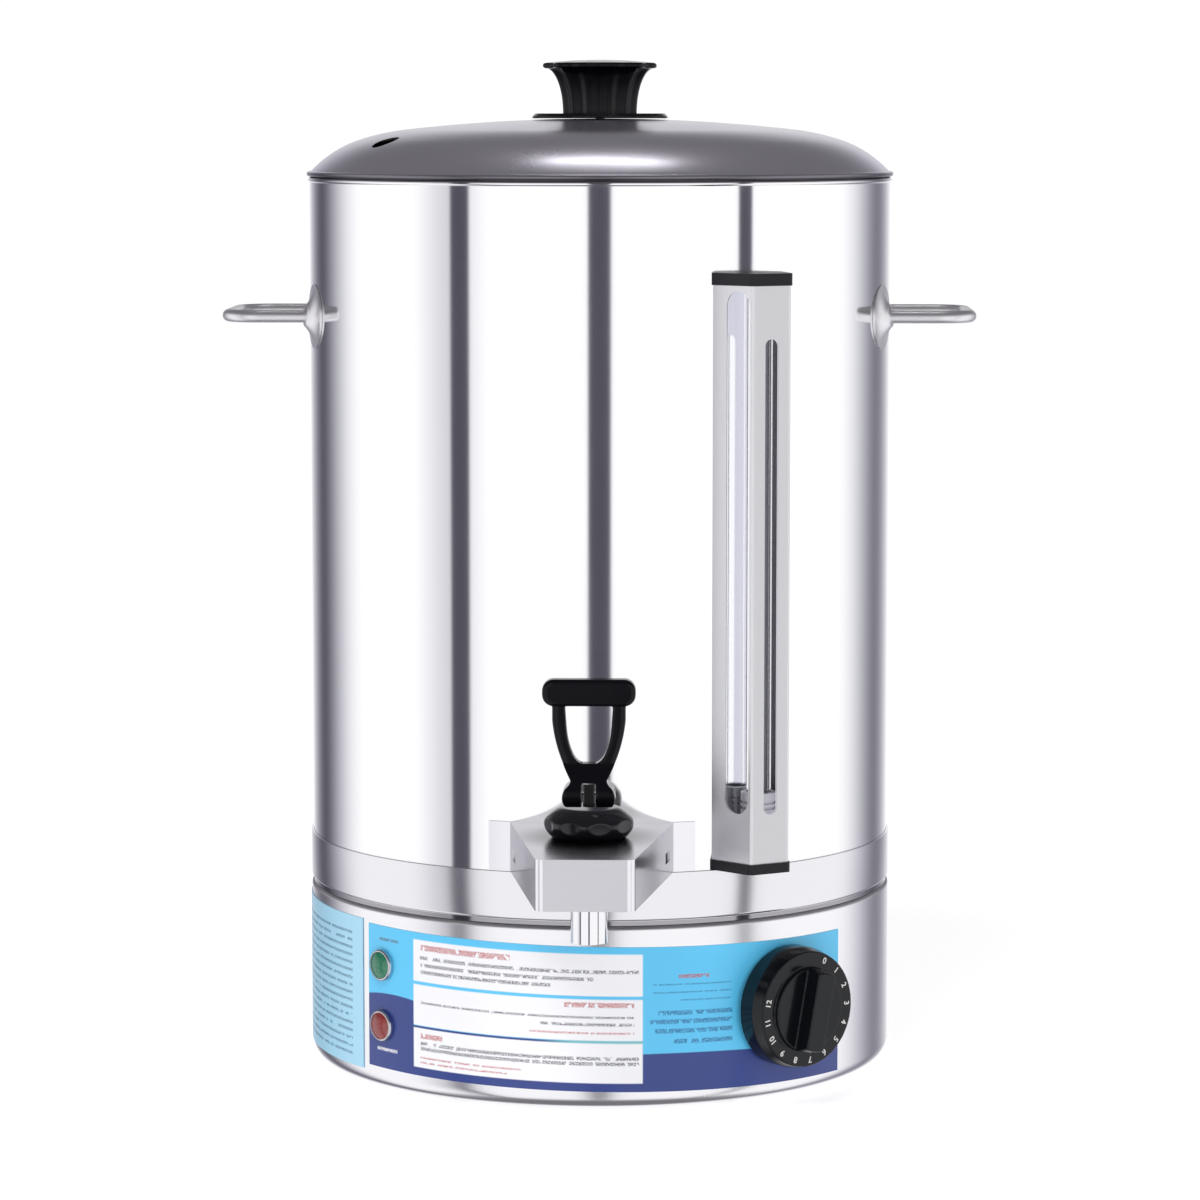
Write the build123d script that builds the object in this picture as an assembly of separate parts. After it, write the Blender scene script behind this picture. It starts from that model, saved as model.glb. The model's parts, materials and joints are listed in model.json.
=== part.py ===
from build123d import *
import math
import os

# A catering urn for hot water: a steel tank on a steel skirt that holds the controls.
# Millimetres. The urn stands on Z = 0 with its axis on Z, and its tap faces -Y.
# An azimuth is counted from the tap towards +X, and "reach" is the distance from the axis.

# ---------------------------------------------------------------- clearances
SEAT = 0.1                # between two curved pieces that are seated on each other
RUNNING = 0.05            # radial clearance of a shaft that turns or slides in its hole
FREE = 0.4                # between two pieces that move past each other
OVERRUN = 2.0             # how far a cutter passes through the face that it opens
CUT_REACH = 10.0          # how far behind a curved wall its cutters start

# ---------------------------------------------------------------- shells
TANK_R = 150.0            # outside of the tank barrel
SHEET = 1.0               # sheet steel of the tank, skirt, band and lid
FOOT_STANDOFF = 3.0       # the skirt's lowest face above the surface it stands on
FOOT_INSET = 4.0          # from the skirt's flange in to the foot ring
FOOT_WIDTH = 8.0
SKIRT_STEP = 1.0          # the skirt stands this much proud of the barrel
SKIRT_H = 92.2            # from the skirt's lowest face to its shelf
SKIRT_CORNER = 8.0        # radius of the lower edge
SKIRT_SHOULDER = 2.6      # radius of the upper edge
SKIRT_FLANGE = 12.0       # flat turned-in flange under the lower edge
SHELF_WIDTH = 9.0         # flat turned-in shelf that carries the tank
GROOVE_H = 2.2            # open groove between the skirt and the band
BAND_H = 24.1
BAND_ROLL = 1.6           # turned-in lower edge of the band
TANK_H = 365.1            # from the shelf to the top of the rolled rim
RIM_R = 1.4               # wire radius of the rolled rims
FLOOR_RISE = 6.0          # tank floor above the shelf
FLOOR_FLANGE = 12.0       # upstand of the floor inside the barrel
FLOOR_BEND = 5.0

# ---------------------------------------------------------------- lid
LID_OVERHANG = 1.0
LID_GAP = 0.3
LID_CROWN_R = 900.0
LID_SHOULDER_R = 120.0
LID_SHOULDER_W = 24.0
LID_KNUCKLE_R = 60.0
LID_KNUCKLE_W = 27.0
LID_RING_DEPTH = 16.0     # the locating ring reaches this far into the tank
LID_RING_GAP = 1.0
VENT_R = 6.8
VENT_REACH = 126.0
VENT_AZIMUTH = -57.0
KNOB_R = 29.2
KNOB_NECK_R = 18.6
KNOB_H = 27.5
KNOB_CAP_T = 2.8          # thickness of the cap's edge
KNOB_CROWN = 1.6          # rise of the cap's top inside the edge
KNOB_CROWN_SHARE = 0.6    # the flat top's share of the cap
KNOB_LOBES = 12
KNOB_LOBE_DEPTH = 0.9
KNOB_DISC_R = 35.0
KNOB_DISC_T = 2.5
KNOB_DISC_CHAMFER = 1.5
KNOB_FLARE_STEPS = 8
KNOB_EDGE_STEPS = 6
KNOB_SCREW_R = 2.5
KNOB_SCREW_HEAD_R = 5.0
KNOB_SCREW_GRIP = 15.0    # length of the screw inside the knob

# ---------------------------------------------------------------- handles
HANDLE_Z = 389.7
HANDLE_ROD_R = 3.25
HANDLE_SPACING = 80.0     # between the two legs of a loop
HANDLE_STANDOUT = 43.6    # from the barrel to the outside of the loop
HANDLE_BEND = 17.0
FLANGE_R = 16.5
FLANGE_H = 5.4
FLANGE_BOSS_R = 6.2
FLANGE_BOSS_H = 1.1
FLANGE_BOSS_ROUND = 2.6
FLANGE_FACE_R = 5.0
FLANGE_EDGE = 0.4         # a flange's edge above the barrel

# ---------------------------------------------------------------- sight gauge
GAUGE_AZIMUTH = 30.4
GAUGE_FACE_W = 21.5
GAUGE_BACK_W = 37.0
GAUGE_DEPTH = 23.0        # from the barrel to the front face
GAUGE_FOLD = 1.8          # outside radius of the folds
GAUGE_H = 283.0
GAUGE_CAP_H = 5.0
GAUGE_TOP_CAP_H = 6.0
GAUGE_CAP_LIP = 0.8
GAUGE_SLOT_W = 7.4        # front slot
GAUGE_WINDOW_W = 15.0     # slot in each side
GAUGE_WINDOW_INSET = 9.6  # from the front fold back to the middle of a side slot
GAUGE_FOOT = 24.3         # from the cover's lower end up to its slots
GAUGE_SLOT_HEAD = 25.7    # from the front slot up to the cover's upper end
GAUGE_WINDOW_HEAD = 2.5   # from a side slot up to the cover's upper end
GAUGE_TUBE_R = 6.0
GAUGE_TUBE_WALL = 1.5
GAUGE_TUBE_OFFSET = 12.0  # from the barrel to the tube's axis
GAUGE_FITTING_R = 8.8
GAUGE_PORT_RISE = 11.3    # port above the cover's lower end
GAUGE_PLUG = 2.0          # how far an end cap reaches into the cover
GAUGE_CAP_SOCKET = 5.0    # how far the tube enters the top cap
GAUGE_CAP_VENT_R = 1.5
GAUGE_SOCKET = 7.0        # how far the tube enters its fitting
GAUGE_FITTING_TOP = 12.0  # from the port's axis to the fitting's mouth
GAUGE_GLAND_H = 11.0
GAUGE_SHANK_R = 5.5
GAUGE_SHANK_L = 12.0
GAUGE_BORE_R = 2.8
GAUGE_WASHER_T = 1.6
GAUGE_NUT_R = 10.0
GAUGE_NUT_H = 5.0

# ---------------------------------------------------------------- tap
TAP_REACH = 39.0          # from the barrel to the tap's upright axis
TAP_PORT_Z = 132.5
TAP_COLLAR_R = 10.8
TAP_BODY_R = 13.0
TAP_CAVITY_R = 8.0
TAP_NECK_R = 10.0
TAP_SHANK_R = 9.0
TAP_SHANK_BORE = 5.5
TAP_SHANK_L = 20.0
TAP_WASHER_T = 2.0
TAP_NUT_R = 14.0
TAP_NUT_H = 6.0
TAP_BODY_BOTTOM_Z = 119.0
TAP_SEAT_Z = 126.0
TAP_SEAT_BORE = 5.0
SPOUT_R = 9.0
SPOUT_BORE = 6.0
SPOUT_BOTTOM_Z = 94.9
SPOUT_SPIGOT_L = 5.0
GUARD_TOP_Z = 146.2
GUARD_H = 24.6
GUARD_FRONT_W = 46.2
GUARD_BACK_W = 80.8
GUARD_DEPTH = 104.8       # from the barrel to the front face
GUARD_SHEET = 1.2
GUARD_FOLD = 4.0
GUARD_SLOT_H = 5.3
GUARD_SLOT_W = 12.5
GUARD_SLOT_INSET = 17.7
GUARD_SLOT_DROP = 14.4    # from the guard's top to the middle of a slot
GUARD_FLANGE_W = 10.5     # flanges that lie on the barrel at the guard's back corners
BONNET_R = 21.8
BONNET_FOOT_R = 17.6
BONNET_BULGE_Z = 7.4      # height of the widest line above the guard
BONNET_BULGE_SAG = 1.1    # how far the flank bulges beyond its chord
BONNET_SHOULDER_R = 19.6
BONNET_SKIRT_H = 11.0
BONNET_H = 14.8
BONNET_TOP_R = 12.5
BONNET_SCALLOPS = 9
BONNET_SCALLOP_R = 40.0
BONNET_SCALLOP_DEPTH = 1.1
BONNET_SCALLOP_Z = 5.8    # middle of the scallops above the guard
BONNET_TURN_SHARE = 0.4   # the pattern's turn, as a share of one scallop
BONNET_ROOF = 5.0
BONNET_EASE = 1.2         # softened edges
STEM_R = 3.0
SEAT_CUP_R = 7.5
SEAT_CUP_H = 8.0
STEM_GRIP = 4.0           # length of the stem inside the cup
SEAT_CUP_LIFT = 0.3
PIVOT_RISE = 7.0          # lever pivot above the bonnet
PIN_R = 1.5
CAM_THROW = 5.0           # forward offset of the cam's centre
LEVER_HUB_W = 25.6
LEVER_FOOT_W = 22.0       # flat under the hub
LEVER_NECK_W = 17.4
LEVER_NECK_Z = 6.4        # heights above the pivot
LEVER_WAIST_Z = 12.1
LEVER_BLADE_Z = 14.3
LEVER_SPREAD_Z = 20.5
LEVER_SPREAD_W = 29.6
LEVER_ARM_Z = 35.0
LEVER_T = 8.0
LEVER_ROUND = 2.2
LEVER_H = 55.0            # from the pivot to the top of the crossbar
LOOP_W = 35.4             # outside of the finger loop under the crossbar
LOOP_HOLE_W = 23.6
LOOP_FOOT_Z = 13.6
LOOP_FOOT_W = 16.4
LOOP_FOOT_RISE = 6.2
CROSSBAR_W = 45.0
CROSSBAR_H = 13.0
CROSSBAR_T = 10.0
CROSSBAR_END_R = 5.5
CROSSBAR_ROUND = 2.0
CROSSBAR_OVERLAP = 2.6    # depth of the loop's arms inside the crossbar
SPRING_WIRE_R = 0.6
SPRING_R = 5.2
SPRING_TURNS = 5

# ---------------------------------------------------------------- controls
DIAL_AZIMUTH = 39.4
DIAL_Z = 50.0
DIAL_R = 30.4
DIAL_T = 15.8
DIAL_TURN = 12.0          # clockwise turn of the grip from upright, in degrees
DIAL_TAPER = 1.5
DIAL_SKIRT_CHAMFER = 6.5
DIAL_GRIP_R = 21.0
DIAL_GRIP_H = 11.0
DIAL_GRIP_CHAMFER = 4.4
DIAL_BAR_W = 11.0
DIAL_BOSS_H = 2.2         # floor of the scoops beside the bar
DIAL_GAP = 1.4            # from the skirt to the back of the dial
SHAFT_R = 3.0
SHAFT_INSERT = 14.0
THERMOSTAT_W = 36.0
THERMOSTAT_L = 44.0
THERMOSTAT_D = 24.0
THERMOSTAT_STANDOFF = 3.0
THERMOSTAT_SHAFT_L = 14.4
THERMOSTAT_SCREW_SPACING = 28.0
THERMOSTAT_SCREW_R = 2.0
THERMOSTAT_SCREW_L = 11.0
THERMOSTAT_SCREW_HEAD_R = 3.6
THERMOSTAT_SCREW_HEAD_H = 0.6
BUSHING_R = 5.0
LAMP_AZIMUTH = -44.6
LAMP_HIGH_Z = 67.0
LAMP_LOW_Z = 36.0
LAMP_BEZEL_R = 8.0
LAMP_BEZEL_T = 2.4
LAMP_BEZEL_ROUND = 1.1
LAMP_LENS_R = 6.8
LAMP_DOME_H = 2.4
LAMP_BODY_R = 5.0
LAMP_BODY_L = 24.0
LAMP_BORE_L = 12.0
LAMP_STEM_L = 8.0
LAMP_NUT_R = 8.0
LAMP_NUT_H = 3.2
LABEL_T = 0.4
LABEL_START_AZIMUTH = -48.8
LABEL_END_AZIMUTH = 54.3
LABEL_Z = 48.7            # middle of the label
LABEL_H = 72.6
LABEL_SLANT = 1.0         # the label sits askew, in degrees
SIDE_LABEL_START_AZIMUTH = -91.3
SIDE_LABEL_END_AZIMUTH = -50.8
SIDE_LABEL_Z0 = 11.5
SIDE_LABEL_Z1 = 88.5

# ---------------------------------------------------------------- base fittings
INLET_Z = 38.0
INLET_W = 27.0
INLET_H = 20.0
INLET_WALL = 1.6
INLET_D = 24.0
INLET_CAVITY = 17.0
INLET_FLANGE_W = 50.0
INLET_FLANGE_T = 2.4
INLET_SCREW_SPACING = 40.0
INLET_SCREW_R = 1.7
INLET_SCREW_L = 9.6
INLET_SCREW_HEAD_R = 3.0
INLET_SCREW_HEAD_H = 1.2
INLET_PIN_L = 12.0
INLET_PIN_W = 2.0
INLET_PIN_H = 4.0
INLET_PIN_PITCH = 14.0
INLET_EARTH_DROP = 4.0
COVER_INSET = 5.0         # from the skirt's rounded corner in to the cover's edge
COVER_T = 1.2
COVER_SCREWS = 6
COVER_SCREW_R = 2.0
COVER_SCREW_HEAD = 1.6
COVER_NUT_H = 3.0
VENT_SLOTS = 10
VENT_SLOT_L = 30.0
VENT_SLOT_W = 3.0
VENT_SLOT_REACH = 70.0
ELEMENT_TUBE_R = 4.0
ELEMENT_RISE = 24.0       # loop above the tank floor
ELEMENT_INSET = 59.0      # from the tank's wall in to the loop's ends
ELEMENT_FRONT_INSET = 81.5
ELEMENT_CORNER_INSET = 89.6
ELEMENT_BEND = 12.0
ELEMENT_LEG_Y = 55.0
ELEMENT_LEG_SPACING = 40.0
ELEMENT_TAIL = 22.0       # cold ends below the floor
ELEMENT_NUT_R = 10.0
ELEMENT_NUT_H = 8.0
ELEMENT_SEAL_H = 4.0
CUTOUT_R = 12.5
CUTOUT_H = 10.0
BLADE_W = 6.3
BLADE_T = 0.8
BLADE_L = 9.0
BULB_R = 3.2
BULB_OFFSET = 45.0        # from the urn's axis towards the tap
CAPILLARY_BEND = 8.0
CLIP_L = 12.0
CLIP_W = 19.2
BULB_L = 80.0
CAPILLARY_R = 0.9
TERMINAL_L = 60.0
TERMINAL_W = 24.0
TERMINAL_H = 20.0
TERMINAL_POLES = 3
LAMP_POLE = 0
NEUTRAL_POLE = 1
LIVE_POLE = 2
TERMINAL_WAY_R = 5.0
TERMINAL_WELL_R = 4.0
TERMINAL_INSET = 79.0     # from the tank's wall in to the middle of the block
STUD_R = 2.5
STUD_L = 18.0
STUD_INSET = 44.0
WIRE_R = 1.3
WIRE_BEND = 6.0
WIRE_LEVEL = 58.0         # height of most of the wires' level runs
WIRE_LOW = 24.0
WIRE_GRIP = 8.0           # length of a wire inside its terminal
WIRE_TAIL = 24.0          # straight run behind a tab or pin
WIRE_CLEAR = 8.0          # between neighbouring wires

# ---------------------------------------------------------------- places worked out from the sizes
TANK_IN = TANK_R - SHEET
SKIRT_R = TANK_R + SKIRT_STEP
SKIRT_IN = SKIRT_R - SHEET
SKIRT_FLANGE_R = SKIRT_R - SKIRT_CORNER - SKIRT_FLANGE
FOOT_R = SKIRT_FLANGE_R - FOOT_INSET
COVER_R = SKIRT_R - SKIRT_CORNER - COVER_INSET
BAND_R = TANK_R + SEAT + SHEET
SKIRT_Z = FOOT_STANDOFF
SHELF_Z = SKIRT_Z + SKIRT_H
BAND_Z = SHELF_Z + GROOVE_H
BAND_TOP_Z = BAND_Z + BAND_H
RIM_Z = SHELF_Z + TANK_H
FLOOR_Z = SHELF_Z + FLOOR_RISE
FLOOR_TOP_Z = FLOOR_Z + SHEET
COVER_Z = SKIRT_Z + SHEET
LID_R = TANK_R + LID_OVERHANG
HANDLE_REACH = TANK_R + HANDLE_STANDOUT
LID_RIM_Z = RIM_Z + LID_GAP + RIM_R
LID_CROWN_EDGE = LID_R - LID_SHOULDER_W - LID_KNUCKLE_W
LID_TURN_1 = math.asin(LID_CROWN_EDGE / LID_CROWN_R)
LID_TURN_2 = math.asin(math.sin(LID_TURN_1) + LID_SHOULDER_W / LID_SHOULDER_R)
LID_TURN_3 = math.asin(math.sin(LID_TURN_2) + LID_KNUCKLE_W / LID_KNUCKLE_R)
LID_RISE = (
    LID_CROWN_R * (1 - math.cos(LID_TURN_1))
    + LID_SHOULDER_R * (math.cos(LID_TURN_1) - math.cos(LID_TURN_2))
    + LID_KNUCKLE_R * (math.cos(LID_TURN_2) - math.cos(LID_TURN_3))
)
LID_TOP_Z = LID_RIM_Z - RIM_R / 2 + LID_RISE
KNOB_DISC_Z = LID_TOP_Z + SEAT
KNOB_Z = KNOB_DISC_Z + KNOB_DISC_T
GAUGE_Z = BAND_TOP_Z + 2 * SEAT
GAUGE_COVER_Z = GAUGE_Z + GAUGE_CAP_H
GAUGE_TOP_Z = GAUGE_COVER_Z + GAUGE_H
GAUGE_PORT_Z = GAUGE_COVER_Z + GAUGE_PORT_RISE
GAUGE_TUBE_TOP_Z = GAUGE_TOP_Z - GAUGE_PLUG + GAUGE_CAP_SOCKET
TAP_Y = -(TANK_R + TAP_REACH)
GUARD_UNDER_Z = GUARD_TOP_Z - GUARD_SHEET
BONNET_TOP_Z = GUARD_TOP_Z + BONNET_H
BONNET_ROOF_Z = BONNET_TOP_Z - BONNET_ROOF
PIVOT_Z = BONNET_TOP_Z + PIVOT_RISE
CAM_R = PIVOT_RISE - FREE
SEAT_CUP_Z = TAP_SEAT_Z + SEAT_CUP_LIFT
LABEL_R = SKIRT_R + SEAT + LABEL_T
DIAL_BACK = SKIRT_R + DIAL_GAP
THERMOSTAT_FACE = SKIRT_IN - THERMOSTAT_STANDOFF
THERMOSTAT_BACK = THERMOSTAT_FACE - THERMOSTAT_D
ELEMENT_REACH = TANK_IN - ELEMENT_INSET
TERMINAL_X = -(TANK_IN - TERMINAL_INSET)
TERMINAL_WAY_Z = FLOOR_Z - TERMINAL_H / 2
TERMINAL_PITCH = TERMINAL_L / TERMINAL_POLES
STUD_Y = TANK_IN - STUD_INSET
INLET_FRONT = SKIRT_R + SEAT + INLET_FLANGE_T


# ---------------------------------------------------------------- shaping helpers
def tube(outer, inner, low, high):
    """An upright tube about Z between two heights."""
    return Pos(0, 0, low) * extrude(Circle(outer) - Circle(inner), high - low)


def rod(radius, low, high):
    """An upright cylinder about Z between two heights."""
    return Pos(0, 0, low) * extrude(Circle(radius), high - low)


def spindle(radius, inner, outer):
    """A cylinder along the outward line from one reach to another, at azimuth and height 0."""
    return Pos(0, -inner, 0) * extrude(Plane.XZ * Circle(radius), outer - inner)


def facing(azimuth, height=0.0):
    """The place that turns a piece made at azimuth 0 to its own azimuth and height."""
    return Pos(0, 0, height) * Rot(0, 0, azimuth)


def barrel_core(radius):
    """What a piece loses to seat on a cylinder about Z."""
    return rod(radius, -SKIRT_R, LID_TOP_Z)


def hexagon(across_corners, inner, outer):
    """A hexagonal nut blank along the outward line."""
    return Pos(0, -inner, 0) * extrude(Plane.XZ * RegularPolygon(across_corners, 6), outer - inner)


# ---------------------------------------------------------------- base
def foot_ring():
    return tube(FOOT_R, FOOT_R - FOOT_WIDTH, 0, COVER_Z)


def skirt_hole(azimuth, height, across, radius):
    """Cutter through the skirt's wall, moved sideways from the line at an azimuth."""
    cutter = spindle(radius, SKIRT_IN - CUT_REACH, SKIRT_R + OVERRUN)
    return facing(azimuth, height) * Pos(across, 0, 0) * cutter


def skirt_outline(offset):
    """Skirt section from the flange's inner edge round to the shelf's, offset inwards."""
    corner = SKIRT_CORNER - offset
    shoulder = SKIRT_SHOULDER - offset
    radius = SKIRT_R - offset
    low = SKIRT_Z + offset
    high = SHELF_Z - offset
    shelf_edge = SKIRT_R - SHELF_WIDTH
    lower = Line((SKIRT_FLANGE_R, low), (radius - corner, low))
    turn = JernArc(lower @ 1, lower % 1, corner, 90)
    wall = Line(turn @ 1, (radius, high - shoulder))
    crest = JernArc(wall @ 1, wall % 1, shoulder, 90)
    shelf = Line(crest @ 1, (shelf_edge, high))
    return [lower, turn, wall, crest, shelf]


def base_skirt():
    outer = skirt_outline(0)
    inner = skirt_outline(SHEET)
    ends = [Line(outer[0] @ 0, inner[0] @ 0), Line(outer[-1] @ 1, inner[-1] @ 1)]
    shell = revolve(Plane.XZ * make_face(outer + inner + ends), Axis.Z)
    for height in (LAMP_LOW_Z, LAMP_HIGH_Z):
        shell -= skirt_hole(LAMP_AZIMUTH, height, 0, LAMP_BODY_R + SEAT)
    shell -= skirt_hole(DIAL_AZIMUTH, DIAL_Z, 0, BUSHING_R + SEAT)
    for side in (-1, 1):
        across = side * THERMOSTAT_SCREW_SPACING / 2
        shell -= skirt_hole(DIAL_AZIMUTH, DIAL_Z, across, THERMOSTAT_SCREW_R + SEAT)
        across = side * INLET_SCREW_SPACING / 2
        shell -= skirt_hole(180, INLET_Z, across, INLET_SCREW_R + SEAT)
    cut = Box(INLET_W + 2 * SEAT, 4 * CUT_REACH, INLET_H + 2 * SEAT)
    shell -= facing(180, INLET_Z) * Pos(0, -SKIRT_R, 0) * cut
    for place in cover_screw_places():
        shell -= place * rod(COVER_SCREW_R + SEAT, SKIRT_Z - OVERRUN, COVER_Z + OVERRUN)
    return shell


def cover_screw_places():
    reach = (SKIRT_FLANGE_R + COVER_R) / 2
    return [Rot(0, 0, 360 / COVER_SCREWS * (i + 0.5)) * Pos(0, -reach, 0) for i in range(COVER_SCREWS)]


def base_cover_plate():
    plate = Pos(0, 0, COVER_Z) * extrude(Circle(COVER_R), COVER_T)
    for place in cover_screw_places():
        plate -= place * rod(COVER_SCREW_R + SEAT, COVER_Z - OVERRUN, COVER_Z + OVERRUN + COVER_T)
    slot = extrude(SlotOverall(VENT_SLOT_L, VENT_SLOT_W), COVER_T + 2 * OVERRUN)
    for i in range(VENT_SLOTS):
        turn = Rot(0, 0, 360 / VENT_SLOTS * i)
        plate -= turn * Pos(VENT_SLOT_REACH, 0, COVER_Z - OVERRUN) * slot
    return plate


def base_cover_screws():
    screw = rod(2 * COVER_SCREW_R, SKIRT_Z - COVER_SCREW_HEAD, SKIRT_Z)
    screw += rod(COVER_SCREW_R, SKIRT_Z, COVER_Z + COVER_T + COVER_NUT_H + SEAT)
    return [place * screw for place in cover_screw_places()]


def base_cover_nuts():
    top = COVER_Z + COVER_T
    nut = tube(2 * COVER_SCREW_R, COVER_SCREW_R + RUNNING, top, top + COVER_NUT_H)
    return [place * nut for place in cover_screw_places()]


# ---------------------------------------------------------------- tank
def joint_band():
    """Collar over the seam between the tank and the skirt, with its lower edge rolled in."""
    roll = BAND_ROLL
    outer = [Line((BAND_R, BAND_TOP_Z), (BAND_R, BAND_Z + roll))]
    outer.append(JernArc(outer[0] @ 1, outer[0] % 1, roll, -90))
    foot = Line(outer[1] @ 1, (BAND_R - SHEET, BAND_Z))
    back = Line(foot @ 1, (BAND_R - SHEET, BAND_TOP_Z))
    top = Line(back @ 1, outer[0] @ 0)
    return revolve(Plane.XZ * make_face(outer + [foot, back, top]), Axis.Z)


def tank_barrel():
    wall = tube(TANK_R, TANK_IN, SHELF_Z, RIM_Z - RIM_R)
    rim = Pos(0, 0, RIM_Z - RIM_R) * Torus(TANK_R - SHEET / 2, RIM_R)
    shell = wall + rim
    shell -= Pos(0, 0, TAP_PORT_Z) * spindle(TAP_SHANK_R + SEAT, TANK_IN - CUT_REACH, TANK_R + OVERRUN)
    hole = spindle(GAUGE_SHANK_R + SEAT, TANK_IN - CUT_REACH, TANK_R + OVERRUN)
    return shell - facing(GAUGE_AZIMUTH, GAUGE_PORT_Z) * hole


def floor_holes():
    """Upright holes of the element's two legs."""
    return [Pos(side * ELEMENT_LEG_SPACING / 2, ELEMENT_LEG_Y, 0) for side in (-1, 1)]


def tank_floor():
    """Dished floor: a flat disc turned up into a flange inside the barrel."""
    radius = TANK_IN - SEAT
    outer = [Line((0, FLOOR_Z), (radius - FLOOR_BEND, FLOOR_Z))]
    outer.append(JernArc(outer[0] @ 1, outer[0] % 1, FLOOR_BEND, 90))
    outer.append(Line(outer[1] @ 1, (radius, FLOOR_Z + FLOOR_FLANGE)))
    inner = [Line((0, FLOOR_TOP_Z), (radius - FLOOR_BEND, FLOOR_TOP_Z))]
    inner.append(JernArc(inner[0] @ 1, inner[0] % 1, FLOOR_BEND - SHEET, 90))
    inner.append(Line(inner[1] @ 1, (radius - SHEET, FLOOR_Z + FLOOR_FLANGE)))
    ends = [Line(outer[0] @ 0, inner[0] @ 0), Line(outer[2] @ 1, inner[2] @ 1)]
    floor = revolve(Plane.XZ * make_face(outer + inner + ends), Axis.Z)
    for place in floor_holes():
        floor -= place * rod(ELEMENT_TUBE_R + SEAT, FLOOR_Z - OVERRUN, FLOOR_TOP_Z + OVERRUN)
    return floor


def heating_element():
    """One tube: two legs up through the floor and a wide loop over it."""
    leg_x = ELEMENT_LEG_SPACING / 2
    level = FLOOR_TOP_Z + ELEMENT_RISE
    half = TANK_IN - ELEMENT_CORNER_INSET
    front = -(TANK_IN - ELEMENT_FRONT_INSET)
    path = FilletPolyline(
        (-leg_x, ELEMENT_LEG_Y, FLOOR_Z - ELEMENT_TAIL),
        (-leg_x, ELEMENT_LEG_Y, level),
        (-half, ELEMENT_LEG_Y, level),
        (-ELEMENT_REACH, 0, level),
        (-half, front, level),
        (half, front, level),
        (ELEMENT_REACH, 0, level),
        (half, ELEMENT_LEG_Y, level),
        (leg_x, ELEMENT_LEG_Y, level),
        (leg_x, ELEMENT_LEG_Y, FLOOR_Z - ELEMENT_TAIL),
        radius=ELEMENT_BEND,
    )
    section = Plane(origin=path @ 0, z_dir=path % 0) * Circle(ELEMENT_TUBE_R)
    return sweep(section, path)


def element_nuts():
    nut = extrude(RegularPolygon(ELEMENT_NUT_R, 6) - Circle(ELEMENT_TUBE_R + RUNNING), ELEMENT_NUT_H)
    return [place * Pos(0, 0, FLOOR_Z - ELEMENT_NUT_H) * nut for place in floor_holes()]


def element_seals():
    """Flanged collars on the water side of the floor."""
    seal = tube(ELEMENT_NUT_R, ELEMENT_TUBE_R + RUNNING, FLOOR_TOP_Z, FLOOR_TOP_Z + ELEMENT_SEAL_H)
    return [place * seal for place in floor_holes()]


def boil_dry_cutout():
    """Disc thermostat held against the underside of the floor, with two blade terminals."""
    body = rod(CUTOUT_R, FLOOR_Z - CUTOUT_H, FLOOR_Z)
    blade = Box(BLADE_W, BLADE_T, BLADE_L, align=(Align.CENTER, Align.CENTER, Align.MAX))
    for side in (-1, 1):
        body += Pos(side * CUTOUT_R / 2, 0, FLOOR_Z - CUTOUT_H) * blade
    return body


def bulb_start():
    """One end of the bulb, on its axis."""
    return Vector(-BULB_L / 2, -BULB_OFFSET, FLOOR_Z - BULB_R - SEAT)


def thermostat_bulb():
    """Sensing bulb clipped under the floor and its capillary down to the thermostat."""
    start = bulb_start()
    bulb = Plane(origin=start, z_dir=(1, 0, 0)) * extrude(Circle(BULB_R), BULB_L)
    entry = facing(DIAL_AZIMUTH) * Pos(0, -(THERMOSTAT_FACE - THERMOSTAT_D / 2), 0)
    entry_x, entry_y = entry.position.X, entry.position.Y
    path = FilletPolyline(
        start + Vector(BULB_L - BULB_R, 0, 0),
        (entry_x - CAPILLARY_BEND, -BULB_OFFSET, start.Z),
        (entry_x, entry_y, start.Z),
        (entry_x, entry_y, DIAL_Z + THERMOSTAT_L / 2 + SEAT),
        radius=CAPILLARY_BEND,
    )
    section = Plane(origin=path @ 0, z_dir=path % 0) * Circle(CAPILLARY_R)
    return bulb + sweep(section, path)


def bulb_clip():
    """Saddle that holds the bulb up against the floor."""
    start = bulb_start()
    depth = 2 * BULB_R + SHEET + 2 * SEAT
    block = Pos(0, -BULB_OFFSET, FLOOR_Z - depth / 2) * Box(CLIP_L, CLIP_W, depth)
    groove = Plane(origin=start, z_dir=(1, 0, 0)) * extrude(Circle(BULB_R + SEAT), BULB_L)
    mouth = Pos(0, -BULB_OFFSET, FLOOR_Z) * Box(CLIP_L, 2 * (BULB_R + SEAT), 2 * (BULB_R + SEAT))
    return block - groove - mouth


def terminal_block():
    """Ceramic block hung under the floor, with one through way and one screw well per pole."""
    block = Pos(TERMINAL_X, 0, TERMINAL_WAY_Z) * Box(TERMINAL_W, TERMINAL_L, TERMINAL_H)
    for pole in range(TERMINAL_POLES):
        y = terminal_y(pole)
        way = Plane(origin=(TERMINAL_X - TERMINAL_W, y, TERMINAL_WAY_Z), z_dir=(1, 0, 0))
        block -= way * extrude(Circle(TERMINAL_WAY_R), 2 * TERMINAL_W)
        well = rod(TERMINAL_WELL_R, FLOOR_Z - TERMINAL_H - OVERRUN, TERMINAL_WAY_Z)
        block -= Pos(TERMINAL_X, y, 0) * well
    return block


def terminal_y(pole):
    return (pole - (TERMINAL_POLES - 1) / 2) * TERMINAL_PITCH


def earth_stud():
    """Threaded stud under the floor with its nut."""
    place = Pos(0, STUD_Y, 0)
    nut = Pos(0, 0, FLOOR_Z - 2 * STUD_R) * extrude(RegularPolygon(2 * STUD_R, 6), STUD_R)
    return place * (rod(STUD_R, FLOOR_Z - STUD_L, FLOOR_Z) + nut)


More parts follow.
